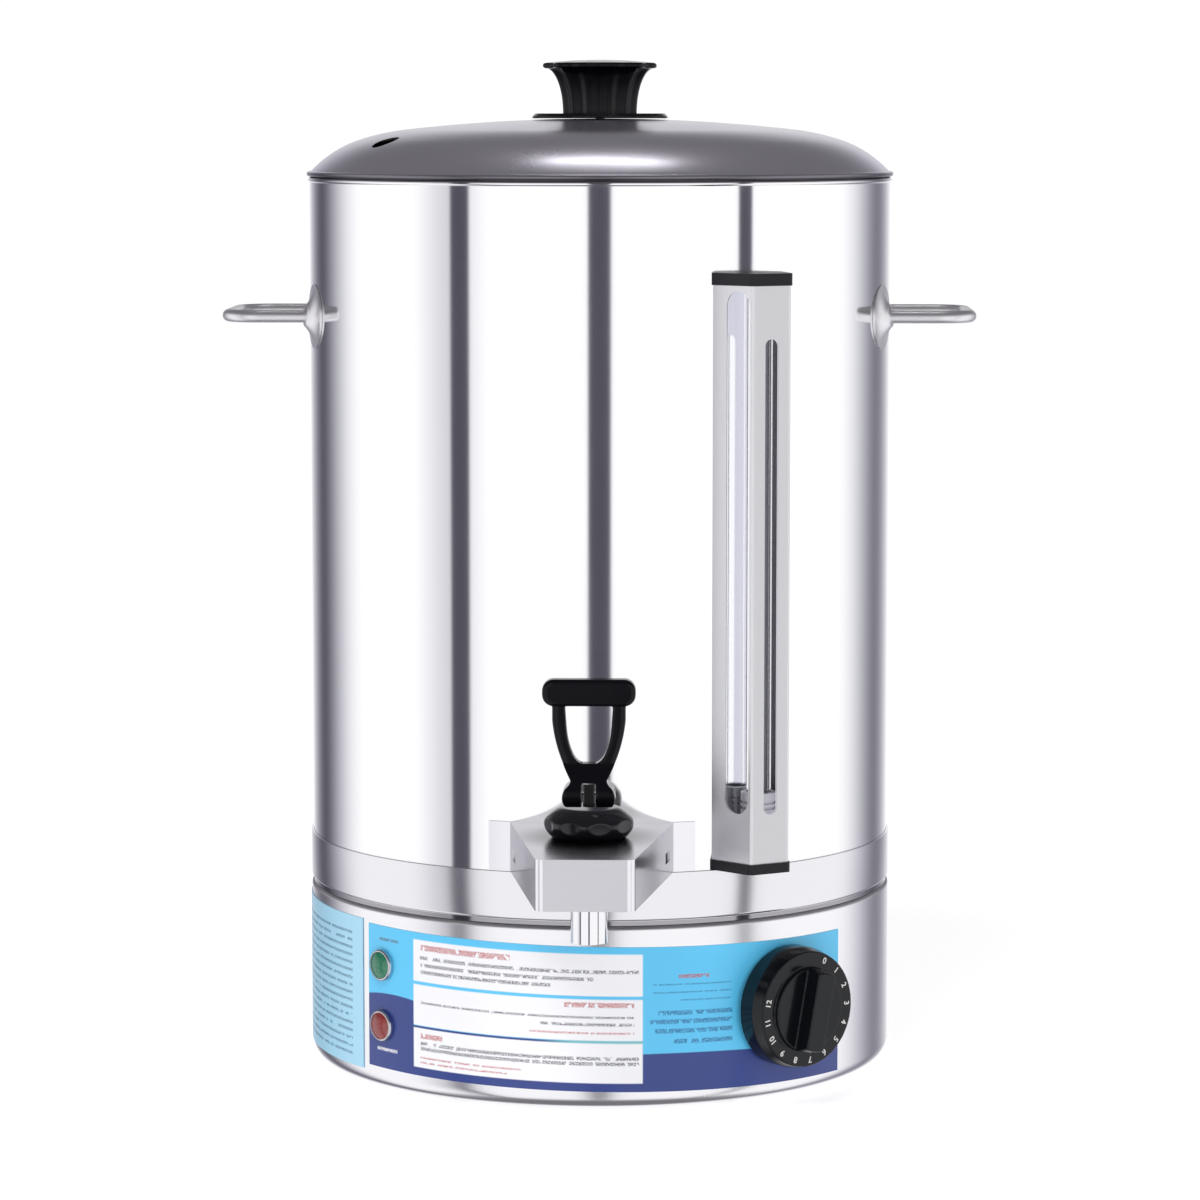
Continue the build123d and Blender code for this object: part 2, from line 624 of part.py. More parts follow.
# ---------------------------------------------------------------- lid
def lid_line(offset):
    """Crown, shoulder and knuckle arcs of the dome, offset inwards from its outer face."""
    crown = JernArc((0, LID_TOP_Z - offset), (1, 0), LID_CROWN_R - offset, -math.degrees(LID_TURN_1))
    turn = math.degrees(LID_TURN_2 - LID_TURN_1)
    shoulder = JernArc(crown @ 1, crown % 1, LID_SHOULDER_R - offset, -turn)
    turn = math.degrees(LID_TURN_3 - LID_TURN_2)
    knuckle = JernArc(shoulder @ 1, shoulder % 1, LID_KNUCKLE_R - offset, -turn)
    return [crown, shoulder, knuckle]


def lid_shell(outer_offset, inner_offset):
    outer = lid_line(outer_offset)
    inner = lid_line(inner_offset)
    ends = [Line(outer[0] @ 0, inner[0] @ 0), Line(outer[2] @ 1, inner[2] @ 1)]
    return revolve(Plane.XZ * make_face(outer + inner + ends), Axis.Z)


def lid_dome():
    dome = lid_shell(0, SHEET)
    dome += Pos(0, 0, LID_RIM_Z) * Torus(LID_R - SHEET, RIM_R)
    vent = facing(VENT_AZIMUTH) * Pos(0, -VENT_REACH, 0) * rod(VENT_R, RIM_Z, LID_TOP_Z + OVERRUN)
    return dome - vent - rod(KNOB_SCREW_R + SEAT, RIM_Z, LID_TOP_Z + OVERRUN)


def lid_locating_ring():
    """Thin ring under the dome that drops inside the tank's mouth."""
    outer = TANK_IN - LID_RING_GAP
    ring = tube(outer, outer - SHEET, RIM_Z - LID_RING_DEPTH, LID_TOP_Z)
    above = lid_shell(-LID_RISE, SHEET + SEAT)
    return ring - above


def lobed_outline(radius):
    """A closed curve whose radius swells and sinks once for each lobe of the knob."""
    count = KNOB_LOBES * 4
    turns = [2 * math.pi * i / count for i in range(count)]
    reaches = [radius - KNOB_LOBE_DEPTH * math.cos(KNOB_LOBES * t) for t in turns]
    points = [(r * math.cos(t), r * math.sin(t)) for r, t in zip(reaches, turns)]
    return make_face(Spline(*points, periodic=True))


def lid_knob():
    """Trumpet knob: a fluted neck that flares out to a lobed cap."""
    flare = KNOB_H - KNOB_CAP_T - KNOB_CROWN
    edge = KNOB_CAP_T / 2
    sections = []
    for i in range(KNOB_FLARE_STEPS + 1):
        turn = math.radians(90 / KNOB_FLARE_STEPS * i)
        reach = KNOB_NECK_R + (KNOB_R - edge - KNOB_NECK_R) * (1 - math.cos(turn))
        sections.append((flare * math.sin(turn), reach))
    for i in range(1, KNOB_EDGE_STEPS + 1):
        turn = math.radians(180 / KNOB_EDGE_STEPS * i)
        sections.append((flare + edge * (1 - math.cos(turn)), KNOB_R - edge + edge * math.sin(turn)))
    sections.append((KNOB_H, KNOB_R * KNOB_CROWN_SHARE))
    faces = [Pos(0, 0, KNOB_Z + height) * lobed_outline(reach) for height, reach in sections]
    knob = loft(faces, ruled=True)
    return knob - rod(KNOB_SCREW_R + SEAT, KNOB_Z - OVERRUN, KNOB_Z + KNOB_SCREW_GRIP + SHEET)


def lid_knob_disc():
    disc = tube(KNOB_DISC_R, KNOB_SCREW_R + SEAT, KNOB_DISC_Z, KNOB_Z)
    edge = disc.edges().group_by(Axis.Z)[-1].sort_by(SortBy.RADIUS)[-1]
    return chamfer(edge, KNOB_DISC_CHAMFER)


def lid_knob_screw():
    under = LID_TOP_Z - SHEET - SEAT
    head = rod(KNOB_SCREW_HEAD_R, under - KNOB_SCREW_R, under)
    return head + rod(KNOB_SCREW_R, under, KNOB_Z + KNOB_SCREW_GRIP)


# ---------------------------------------------------------------- handles
def handle_leg_azimuth():
    """Azimuth of a leg's foot, counted from the handle's own direction."""
    return math.degrees(math.asin(HANDLE_SPACING / 2 / TANK_R))


def handle(side):
    """Loop of round rod that lies level, on the +X side for side 1."""
    leg = HANDLE_SPACING / 2
    foot = math.sqrt(TANK_R ** 2 - (leg - HANDLE_ROD_R) ** 2) + 3 * SEAT
    tip = HANDLE_REACH - HANDLE_ROD_R
    path = FilletPolyline(
        (side * foot, -leg, HANDLE_Z),
        (side * tip, -leg, HANDLE_Z),
        (side * tip, leg, HANDLE_Z),
        (side * foot, leg, HANDLE_Z),
        radius=HANDLE_BEND,
    )
    section = Plane(origin=path @ 0, z_dir=path % 0) * Circle(HANDLE_ROD_R)
    return sweep(section, path)


def handle_flanges(side):
    """Dished flanges that fix the two legs of one handle to the barrel."""
    section = [
        Line((0, TANK_R - FLANGE_H), (FLANGE_R, TANK_R - FLANGE_H)),
        Line((FLANGE_R, TANK_R - FLANGE_H), (FLANGE_R, TANK_R + FLANGE_EDGE)),
    ]
    apex = TANK_R + FLANGE_H
    section.append(RadiusArc(section[-1] @ 1, (FLANGE_BOSS_R, apex - FLANGE_BOSS_H), FLANGE_R))
    section.append(RadiusArc(section[-1] @ 1, (FLANGE_FACE_R, apex), FLANGE_BOSS_ROUND))
    section.append(Line(section[-1] @ 1, (0, apex)))
    section.append(Line((0, apex), (0, TANK_R - FLANGE_H)))
    blank = Rot(90, 0, 0) * revolve(Plane.XZ * make_face(section), Axis.Z)
    flanges = []
    for end in (-1, 1):
        turn = side * 90 + end * handle_leg_azimuth()
        flange = facing(turn, HANDLE_Z) * blank - barrel_core(TANK_R + SEAT)
        leg = Plane(origin=(0, side * end * HANDLE_SPACING / 2, HANDLE_Z), z_dir=(side, 0, 0))
        flanges.append(flange - leg * extrude(Circle(HANDLE_ROD_R + RUNNING), HANDLE_REACH))
    return flanges


# ---------------------------------------------------------------- sight gauge
def gauge_outline(grow):
    """Plan section of the folded cover at azimuth 0, grown outwards on every side."""
    front = -(TANK_R + GAUGE_DEPTH)
    back = -(TANK_R - GAUGE_DEPTH / 2)
    slope = (GAUGE_BACK_W - GAUGE_FACE_W) / 2 / GAUGE_DEPTH
    back_half = GAUGE_FACE_W / 2 + slope * (back - front)
    face = make_face(
        Polyline(
            (-GAUGE_FACE_W / 2, front),
            (GAUGE_FACE_W / 2, front),
            (back_half, back),
            (-back_half, back),
            close=True,
        )
    )
    if grow:
        face = offset(face, grow, kind=Kind.INTERSECTION)
    folds = face.vertices().sort_by(Axis.Y)[:2]
    return fillet(folds, GAUGE_FOLD + grow)


def gauge_side_plane(side, centre_z):
    """Plane on one slanting side of the cover, centred on its slot and facing out of it."""
    front = Vector(side * GAUGE_FACE_W / 2, -(TANK_R + GAUGE_DEPTH), 0)
    back = Vector(side * GAUGE_BACK_W / 2, -TANK_R, 0)
    along = (back - front).normalized()
    normal = Vector(side * -along.Y, side * along.X, 0) * -1
    middle = front + along * GAUGE_WINDOW_INSET + Vector(0, 0, centre_z)
    return Plane(origin=middle, x_dir=(0, 0, 1), z_dir=normal)


def gauge_cover():
    cover = extrude(gauge_outline(0), GAUGE_H) - extrude(gauge_outline(-SHEET), GAUGE_H)
    cover = Pos(0, 0, GAUGE_COVER_Z) * cover - barrel_core(TANK_R + SEAT)
    depth = GAUGE_DEPTH / 4
    slot_l = GAUGE_H - GAUGE_FOOT - GAUGE_SLOT_HEAD
    slot_z = GAUGE_COVER_Z + GAUGE_FOOT + slot_l / 2
    front = Plane(origin=(0, -(TANK_R + GAUGE_DEPTH), slot_z), x_dir=(0, 0, 1), z_dir=(0, -1, 0))
    cover -= extrude(front * SlotOverall(slot_l, GAUGE_SLOT_W), depth, both=True)
    window_l = GAUGE_H - GAUGE_FOOT - GAUGE_WINDOW_HEAD
    for side in (-1, 1):
        plane = gauge_side_plane(side, GAUGE_COVER_Z + GAUGE_FOOT + window_l / 2)
        cover -= extrude(plane * SlotOverall(window_l, GAUGE_WINDOW_W), depth, both=True)
    return facing(GAUGE_AZIMUTH) * cover


def gauge_cap(low, height, plug_low):
    """End cap with a lip round the cover, and a plug inside it that starts at its own height."""
    cap = Pos(0, 0, low) * extrude(gauge_outline(GAUGE_CAP_LIP), height)
    cap += Pos(0, 0, plug_low) * extrude(gauge_outline(-SHEET - 2 * SEAT), GAUGE_PLUG)
    return facing(GAUGE_AZIMUTH) * (cap - barrel_core(TANK_R + SEAT))


def gauge_top_cap():
    """Cap that holds the tube's upper end, with a vent above it so that the level can move."""
    plug_low = GAUGE_TOP_Z - GAUGE_PLUG
    cap = gauge_cap(GAUGE_TOP_Z, GAUGE_TOP_CAP_H, plug_low)
    cap -= gauge_axis() * rod(GAUGE_TUBE_R + SEAT, plug_low - OVERRUN, GAUGE_TUBE_TOP_Z)
    return cap - gauge_axis() * rod(GAUGE_CAP_VENT_R, plug_low, GAUGE_TOP_Z + GAUGE_TOP_CAP_H + OVERRUN)


def gauge_axis():
    """The upright line of the sight tube."""
    return facing(GAUGE_AZIMUTH) * Pos(0, -(TANK_R + GAUGE_TUBE_OFFSET), 0)


def gauge_tube():
    low = GAUGE_PORT_Z + GAUGE_FITTING_TOP - GAUGE_SOCKET + SEAT
    high = GAUGE_TUBE_TOP_Z - SEAT
    return gauge_axis() * tube(GAUGE_TUBE_R, GAUGE_TUBE_R - GAUGE_TUBE_WALL, low, high)


def gauge_fitting():
    """Elbow from the tank to the foot of the sight tube."""
    axis = Pos(0, -(TANK_R + GAUGE_TUBE_OFFSET), 0)
    body = rod(GAUGE_FITTING_R, -GAUGE_FITTING_R, GAUGE_FITTING_TOP)
    body -= rod(GAUGE_TUBE_R + RUNNING, GAUGE_FITTING_TOP - GAUGE_SOCKET, GAUGE_FITTING_TOP + OVERRUN)
    body -= rod(GAUGE_BORE_R, 0, GAUGE_FITTING_TOP)
    elbow = axis * body - barrel_core(TANK_R + GAUGE_WASHER_T)
    shank_from = TANK_IN - GAUGE_SHANK_L
    shank = spindle(GAUGE_SHANK_R, shank_from, TANK_R + GAUGE_TUBE_OFFSET - GAUGE_TUBE_R - SHEET / 2)
    elbow += shank
    elbow -= spindle(GAUGE_BORE_R, shank_from - OVERRUN, TANK_R + GAUGE_TUBE_OFFSET)
    return facing(GAUGE_AZIMUTH, GAUGE_PORT_Z) * elbow


def gauge_gland_nut():
    """Ribbed nut that holds the sight tube in its fitting."""
    nut = tube(GAUGE_FITTING_R, GAUGE_TUBE_R + RUNNING, SEAT, GAUGE_GLAND_H)
    rib = GAUGE_GLAND_H / 4
    for i in (1, 2):
        nut -= tube(GAUGE_FITTING_R + SHEET, GAUGE_FITTING_R - SHEET, i * rib, i * rib + rib / 2)
    return gauge_axis() * Pos(0, 0, GAUGE_PORT_Z + GAUGE_FITTING_TOP) * nut


def gauge_washer():
    """Silicone washer shaped to the barrel under the fitting."""
    washer = spindle(GAUGE_FITTING_R, TANK_R - GAUGE_DEPTH / 4, TANK_R + GAUGE_FITTING_R)
    washer = washer & tube(TANK_R + GAUGE_WASHER_T - SEAT, TANK_R + SEAT, -GAUGE_FITTING_R, GAUGE_FITTING_R)
    washer -= spindle(GAUGE_SHANK_R + SEAT, TANK_IN - CUT_REACH, TANK_R + CUT_REACH)
    return facing(GAUGE_AZIMUTH, GAUGE_PORT_Z) * washer


def gauge_inside_nut():
    outer = TANK_IN - GAUGE_NUT_R ** 2 / (2 * TANK_IN) - SEAT
    nut = hexagon(GAUGE_NUT_R, outer - GAUGE_NUT_H, outer)
    nut -= spindle(GAUGE_SHANK_R + RUNNING, TANK_IN - 2 * GAUGE_NUT_R, TANK_R)
    return facing(GAUGE_AZIMUTH, GAUGE_PORT_Z) * nut


# ---------------------------------------------------------------- tap
def tap_place():
    return Pos(0, TAP_Y, 0)


def tap_body():
    """Upright valve body with a level shank that passes through the barrel."""
    body = tap_place() * rod(TAP_BODY_R, TAP_BODY_BOTTOM_Z, GUARD_UNDER_Z)
    body += tap_place() * rod(TAP_NECK_R, GUARD_UNDER_Z, BONNET_ROOF_Z - SEAT)
    shank = Pos(0, 0, TAP_PORT_Z) * spindle(TAP_SHANK_R, TANK_IN - TAP_SHANK_L, TANK_R + TAP_REACH)
    collar = Pos(0, 0, TAP_PORT_Z) * spindle(TAP_COLLAR_R, TANK_R - TAP_WASHER_T, TANK_R + TAP_REACH / 3)
    body += shank + (collar - barrel_core(TANK_R + TAP_WASHER_T))
    body -= tap_place() * rod(TAP_CAVITY_R, TAP_SEAT_Z, BONNET_ROOF_Z + OVERRUN)
    body -= tap_place() * rod(TAP_SEAT_BORE, TAP_BODY_BOTTOM_Z - OVERRUN, TAP_SEAT_Z + OVERRUN)
    body -= tap_place() * rod(
        SPOUT_R - SHEET + SEAT, TAP_BODY_BOTTOM_Z - OVERRUN, TAP_BODY_BOTTOM_Z + SPOUT_SPIGOT_L
    )
    bore = spindle(TAP_SHANK_BORE, TANK_IN - TAP_SHANK_L - OVERRUN, TANK_R + TAP_REACH)
    return body - Pos(0, 0, TAP_PORT_Z) * bore


def tap_spout():
    spout = rod(SPOUT_R, SPOUT_BOTTOM_Z, TAP_BODY_BOTTOM_Z)
    spout += rod(SPOUT_R - SHEET, TAP_BODY_BOTTOM_Z, TAP_BODY_BOTTOM_Z + SPOUT_SPIGOT_L - SEAT)
    spout -= rod(SPOUT_BORE, SPOUT_BOTTOM_Z - OVERRUN, TAP_BODY_BOTTOM_Z + SPOUT_SPIGOT_L)
    return tap_place() * spout


def tap_shank_nut():
    outer = TANK_IN - TAP_WASHER_T - TAP_NUT_R ** 2 / (2 * TANK_IN)
    nut = hexagon(TAP_NUT_R, outer - TAP_NUT_H, outer)
    nut -= spindle(TAP_SHANK_R + RUNNING, outer - TAP_NUT_H - OVERRUN, outer + OVERRUN)
    return Pos(0, 0, TAP_PORT_Z) * nut


def tap_washers():
    """Two silicone washers shaped to the barrel, one on each side of the wall."""
    wide = TAP_COLLAR_R
    block = spindle(wide, TANK_IN - wide, TANK_R + wide)
    block -= spindle(TAP_SHANK_R + SEAT, TANK_IN - 2 * wide, TANK_R + 2 * wide)
    outside = block & tube(TANK_R + TAP_WASHER_T - SEAT, TANK_R + SEAT, -wide, wide)
    flat = TANK_IN - TAP_WASHER_T - TAP_NUT_R ** 2 / (2 * TANK_IN) + SEAT
    inside = (block & tube(TANK_IN - SEAT, TANK_IN / 2, -wide, wide)) - spindle(2 * wide, 0, flat)
    return [Pos(0, 0, TAP_PORT_Z) * outside, Pos(0, 0, TAP_PORT_Z) * inside]


def guard_outline(shrink):
    """Plan section of the guard, drawn past the barrel at its back, shrunk on every side."""
    front = -(TANK_R + GUARD_DEPTH)
    half = GUARD_FRONT_W / 2
    back_half = GUARD_BACK_W / 2
    back = -math.sqrt(TANK_R ** 2 - back_half ** 2)
    inside = back + GUARD_DEPTH / 3
    face = make_face(
        Polyline(
            (-half, front), (half, front), (back_half, back), (back_half, inside), (-back_half, inside),
            (-back_half, back), close=True,
        )
    )
    if shrink:
        face = offset(face, -shrink, kind=Kind.INTERSECTION)
    corners = face.vertices().sort_by(Axis.Y)[:2]
    return fillet(corners, GUARD_FOLD - shrink)


def tap_guard():
    """Folded steel box over the valve, open below and at the back, with a flange at each back corner."""
    low = GUARD_TOP_Z - GUARD_H
    outer = Pos(0, 0, low) * extrude(guard_outline(0), GUARD_H)
    inner = Pos(0, 0, low) * extrude(guard_outline(GUARD_SHEET), GUARD_H - GUARD_SHEET)
    guard = outer - inner - barrel_core(TANK_R + SEAT)
    width = GUARD_FLANGE_W + GUARD_SHEET
    strip = Box(width, TANK_R, GUARD_H, align=(Align.MIN, Align.MAX, Align.MIN))
    flange = Pos(GUARD_BACK_W / 2 - GUARD_SHEET, 0, low) * strip
    flange = flange & tube(TANK_R + SEAT + GUARD_SHEET, TANK_R + SEAT, low, GUARD_TOP_Z)
    guard += [flange, mirror(flange, Plane.YZ)]
    guard -= tap_place() * rod(TAP_NECK_R + SEAT, GUARD_UNDER_Z - OVERRUN, GUARD_TOP_Z + OVERRUN)
    slot_y = -math.sqrt(TANK_R ** 2 - (GUARD_BACK_W / 2) ** 2) - GUARD_SLOT_INSET
    slot = Box(GUARD_BACK_W - GUARD_SHEET, GUARD_SLOT_W, GUARD_SLOT_H)
    slot = Pos(0, slot_y, GUARD_TOP_Z - GUARD_SLOT_DROP) * slot
    return guard - slot


def tap_bonnet():
    """Fluted cap screwed down over the neck, with a cone that carries the lever's cam."""
    low = GUARD_TOP_Z
    widest = (BONNET_R, low + BONNET_BULGE_Z)
    half_way = ((BONNET_FOOT_R + BONNET_R) / 2 + BONNET_BULGE_SAG, low + BONNET_BULGE_Z / 2)
    section = [Line((0, low), (BONNET_FOOT_R, low)), ThreePointArc((BONNET_FOOT_R, low), half_way, widest)]
    section.append(TangentArc(widest, (BONNET_SHOULDER_R, low + BONNET_SKIRT_H), tangent=section[-1] % 1))
    section.append(
        Polyline(
            (BONNET_SHOULDER_R, low + BONNET_SKIRT_H), (BONNET_TOP_R + SHEET, BONNET_TOP_Z - BONNET_EASE),
            (BONNET_TOP_R, BONNET_TOP_Z), (0, BONNET_TOP_Z), (0, low),
        )
    )
    cap = revolve(Plane.XZ * make_face(section), Axis.Z)
    dish_reach = BONNET_R + BONNET_SCALLOP_R - BONNET_SCALLOP_DEPTH
    dish = Pos(0, -dish_reach, low + BONNET_SCALLOP_Z) * Sphere(BONNET_SCALLOP_R)
    for i in range(BONNET_SCALLOPS):
        cap -= Rot(0, 0, 360 / BONNET_SCALLOPS * (i + BONNET_TURN_SHARE)) * dish
    cap -= rod(TAP_NECK_R + SEAT, low - OVERRUN, BONNET_ROOF_Z)
    cap -= rod(STEM_R + RUNNING, low, BONNET_TOP_Z + OVERRUN)
    return tap_place() * cap


def tap_stem():
    stem = rod(STEM_R, SEAT_CUP_Z + SEAT_CUP_H - STEM_GRIP, PIVOT_Z + STEM_R + SHEET)
    return tap_place() * stem - pin_line(PIN_R + RUNNING / 2, 2 * STEM_R)


def pin_line(radius, half):
    """A level cylinder through the lever's pivot."""
    plane = Plane(origin=(-half, TAP_Y, PIVOT_Z), z_dir=(1, 0, 0))
    return extrude(plane * Circle(radius), 2 * half)


def tap_pivot_pin():
    return pin_line(PIN_R, LEVER_HUB_W / 2 - SHEET)


def tap_seat_cup():
    cup = rod(SEAT_CUP_R, SEAT_CUP_Z, SEAT_CUP_Z + SEAT_CUP_H)
    rim = cup.edges().group_by(Axis.Z)[0]
    cup = chamfer(rim, SEAT_CUP_R - TAP_SEAT_BORE - SHEET)
    return tap_place() * (cup - rod(STEM_R + RUNNING, SEAT_CUP_Z + SEAT_CUP_H - STEM_GRIP - RUNNING, PIVOT_Z))


def tap_spring():
    low = SEAT_CUP_Z + SEAT_CUP_H + SPRING_WIRE_R + SEAT
    high = BONNET_ROOF_Z - SPRING_WIRE_R - SEAT
    coil = Helix(pitch=(high - low) / SPRING_TURNS, height=high - low, radius=SPRING_R)
    wire = Plane(origin=coil @ 0, z_dir=coil % 0) * Circle(SPRING_WIRE_R)
    return tap_place() * Pos(0, 0, low) * sweep(wire, coil, is_frenet=True)


def lever_front():
    """Front view of the lever without its hole: hub, neck and the sides of the loop."""
    foot = LEVER_FOOT_W / 2
    hub = LEVER_HUB_W / 2
    neck = LEVER_NECK_W / 2
    arm = LOOP_W / 2
    top = LEVER_H - CROSSBAR_H / 2
    right = [Line((0, -CAM_R), (foot, -CAM_R))]
    right.append(ThreePointArc(right[-1] @ 1, (hub, -CAM_R / 4), (foot, CAM_R / 2)))
    waist = ((foot + 2 * neck) / 3, LEVER_NECK_Z * 3 / 4)
    right.append(ThreePointArc(right[-1] @ 1, waist, (neck, LEVER_NECK_Z)))
    right.append(ThreePointArc(right[-1] @ 1, (LEVER_SPREAD_W / 2, LEVER_SPREAD_Z), (arm, LEVER_ARM_Z)))
    right.append(Line(right[-1] @ 1, (arm, top)))
    right.append(Line(right[-1] @ 1, (0, top)))
    right.append(Line(right[-1] @ 1, right[0] @ 0))
    half = make_face(right)
    return half + mirror(half, Plane.YZ)


def lever_hole():
    """The finger hole: wide under the crossbar and round at its foot."""
    half = LOOP_HOLE_W / 2
    top = LEVER_H - CROSSBAR_H + CROSSBAR_OVERLAP
    corner = (LOOP_FOOT_W / 2, LOOP_FOOT_Z + LOOP_FOOT_RISE)
    right = [
        Spline((0, LOOP_FOOT_Z), corner, (half, top), tangents=[(1, 0), (0.1, 1)]),
        Line((half, top), (0, top)),
        Line((0, top), (0, LOOP_FOOT_Z)),
    ]
    face = make_face(right)
    return face + mirror(face, Plane.YZ)


def lever_side():
    """Side view of the hub, as (forward, up) from the pivot: cam lobe, hub and tapering neck."""
    cam = Pos(CAM_THROW, 0) * Circle(CAM_R)
    bridge = Pos(CAM_THROW / 2, 0) * Rectangle(CAM_THROW, 2 * CAM_R)
    half = LEVER_T / 2
    neck = Polyline(
        (-CAM_R, 0), (CAM_THROW + CAM_R, 0), (half, LEVER_BLADE_Z), (-half, LEVER_BLADE_Z), close=True
    )
    return cam + Circle(CAM_R) + bridge + make_face(neck)


def lever_blade(outline):
    """The flat of the lever, from its waist up into the crossbar, with rounded long edges."""
    front = Plane.XZ
    height = LEVER_H - CROSSBAR_H / 2 - LEVER_WAIST_Z
    slab = Pos(0, 0, LEVER_WAIST_Z + height / 2) * Box(2 * LEVER_HUB_W, LEVER_T, height)
    blade = (slab & outline) - extrude(front * lever_hole(), LEVER_T, both=True)
    long_edges = [
        edge for edge in blade.edges()
        if abs(edge.center().Y) > LEVER_T * 0.4 and abs(edge.center().X) > SHEET and edge.length > LEVER_T
    ]
    return fillet(long_edges, LEVER_ROUND)


def lever_crossbar():
    outline = Plane.XZ * RectangleRounded(CROSSBAR_W, CROSSBAR_H, CROSSBAR_END_R)
    bar = Pos(0, 0, LEVER_H - CROSSBAR_H / 2) * extrude(outline, CROSSBAR_T / 2, both=True)
    faces = bar.edges().group_by(Axis.Y)
    return fillet(faces[0] + faces[-1], CROSSBAR_ROUND)


def tap_lever():
    """Looped lever: cheeks astride the stem, a finger loop and a crossbar on top."""
    side = Plane(origin=(0, 0, 0), x_dir=(0, -1, 0), z_dir=(-1, 0, 0))
    outline = extrude(Plane.XZ * lever_front(), 2 * LEVER_HUB_W, both=True)
    hub = extrude(side * lever_side(), LEVER_HUB_W, both=True) & outline
    lever = hub + lever_blade(outline) + lever_crossbar()
    slot_top = FREE + math.hypot(STEM_R, STEM_R + SHEET)
    slot = Box(2 * (STEM_R + FREE), 6 * CAM_R, 4 * CAM_R, align=(Align.CENTER, Align.CENTER, Align.MAX))
    lever -= Pos(0, 0, slot_top) * slot
    return Pos(0, TAP_Y, PIVOT_Z) * lever - pin_line(PIN_R + RUNNING, LEVER_HUB_W)


# ---------------------------------------------------------------- controls
def thermostat_knob():
    """Dial: a skirted disc for the numbers with a bar grip across its boss."""
    face = DIAL_BACK + DIAL_T
    disc = spindle(DIAL_R, DIAL_BACK, face)
    disc = chamfer(disc.faces().sort_by(Axis.Y)[0].edges(), DIAL_SKIRT_CHAMFER, DIAL_TAPER)
    grip = spindle(DIAL_GRIP_R, face, face + DIAL_GRIP_H)
    grip = chamfer(grip.faces().sort_by(Axis.Y)[0].edges(), DIAL_GRIP_CHAMFER, DIAL_TAPER)
    scoop = Box(2 * DIAL_GRIP_R, DIAL_GRIP_H, 4 * DIAL_GRIP_R, align=(Align.MIN, Align.MAX, Align.CENTER))
    scoop = Pos(DIAL_BAR_W / 2, -(face + DIAL_BOSS_H), 0) * scoop
    knob = disc + (grip - scoop - mirror(scoop, Plane.YZ))
    knob -= spindle(SHAFT_R + RUNNING, DIAL_BACK - OVERRUN, DIAL_BACK + SHAFT_INSERT)
    return facing(DIAL_AZIMUTH, DIAL_Z) * Rot(0, DIAL_TURN, 0) * knob


def thermostat_shaft():
    shaft = spindle(SHAFT_R, THERMOSTAT_FACE - THERMOSTAT_SHAFT_L, DIAL_BACK + SHAFT_INSERT - SEAT)
    return facing(DIAL_AZIMUTH, DIAL_Z) * shaft


def thermostat_body():
    """Capillary thermostat behind the skirt, on a threaded bushing and two short pillars."""
    middle = -(THERMOSTAT_BACK + THERMOSTAT_D / 2)
    body = Pos(0, middle, 0) * Box(THERMOSTAT_W, THERMOSTAT_D, THERMOSTAT_L)
    body += spindle(BUSHING_R, THERMOSTAT_FACE, SKIRT_R - SEAT)
    outside = tube(2 * SKIRT_R, SKIRT_IN - SEAT, -SKIRT_R, SKIRT_R)
    for side in (-1, 1):
        place = Pos(side * THERMOSTAT_SCREW_SPACING / 2, 0, 0)
        body += place * spindle(2 * THERMOSTAT_SCREW_R, THERMOSTAT_FACE, SKIRT_R) - outside
        body -= place * spindle(THERMOSTAT_SCREW_R + SEAT, THERMOSTAT_FACE - THERMOSTAT_SCREW_L, SKIRT_R)
    body -= spindle(SHAFT_R + RUNNING, THERMOSTAT_FACE - THERMOSTAT_SHAFT_L - SEAT, SKIRT_R + OVERRUN)
    terminal = Pos(0, -(THERMOSTAT_BACK - BLADE_L / 2), 0) * Box(BLADE_T, BLADE_L, BLADE_W)
    for side in (-1, 1):
        body += Pos(side * THERMOSTAT_W / 4, 0, 0) * terminal
    return facing(DIAL_AZIMUTH, DIAL_Z) * body


def thermostat_screws():
    """Two screws through the skirt, hidden behind the dial."""
    seat = SKIRT_R + SEAT
    screw = spindle(THERMOSTAT_SCREW_R, seat - THERMOSTAT_SCREW_L, seat)
    head = spindle(THERMOSTAT_SCREW_HEAD_R, seat - SHEET, seat + THERMOSTAT_SCREW_HEAD_H)
    screw += head - barrel_core(seat)
    places = (-THERMOSTAT_SCREW_SPACING / 2, THERMOSTAT_SCREW_SPACING / 2)
    return [facing(DIAL_AZIMUTH, DIAL_Z) * Pos(x, 0, 0) * screw for x in places]


def lamp_holder(height):
    """Bezel and body of one signal lamp."""
    back = LABEL_R + SEAT
    holder = spindle(LAMP_BEZEL_R, back, back + LAMP_BEZEL_T)
    holder = fillet(holder.faces().sort_by(Axis.Y)[0].edges(), LAMP_BEZEL_ROUND)
    holder += spindle(LAMP_BODY_R, back - LAMP_BODY_L, back)
    holder -= spindle(LAMP_LENS_R + SEAT, back + LAMP_BEZEL_T / 2, back + 2 * LAMP_BEZEL_T)
    holder -= spindle(LAMP_BODY_R - SHEET, back - LAMP_BORE_L, back + 2 * LAMP_BEZEL_T)
    return facing(LAMP_AZIMUTH, height) * holder


def lamp_lens(height):
    """Coloured lens: a low dome with a stem into the lamp body."""
    back = LABEL_R + SEAT
    low = back + LAMP_BEZEL_T / 2
    dome_r = (LAMP_LENS_R ** 2 + LAMP_DOME_H ** 2) / (2 * LAMP_DOME_H)
    lens = spindle(LAMP_LENS_R, low, low + LAMP_BEZEL_T / 2 + LAMP_DOME_H)
    ball = Pos(0, -(low + LAMP_BEZEL_T / 2 + LAMP_DOME_H - dome_r), 0) * Sphere(dome_r)
    lens = lens & ball
    lens += spindle(LAMP_BODY_R - SHEET - SEAT, back - LAMP_STEM_L, low + SEAT)
    return facing(LAMP_AZIMUTH, height) * lens


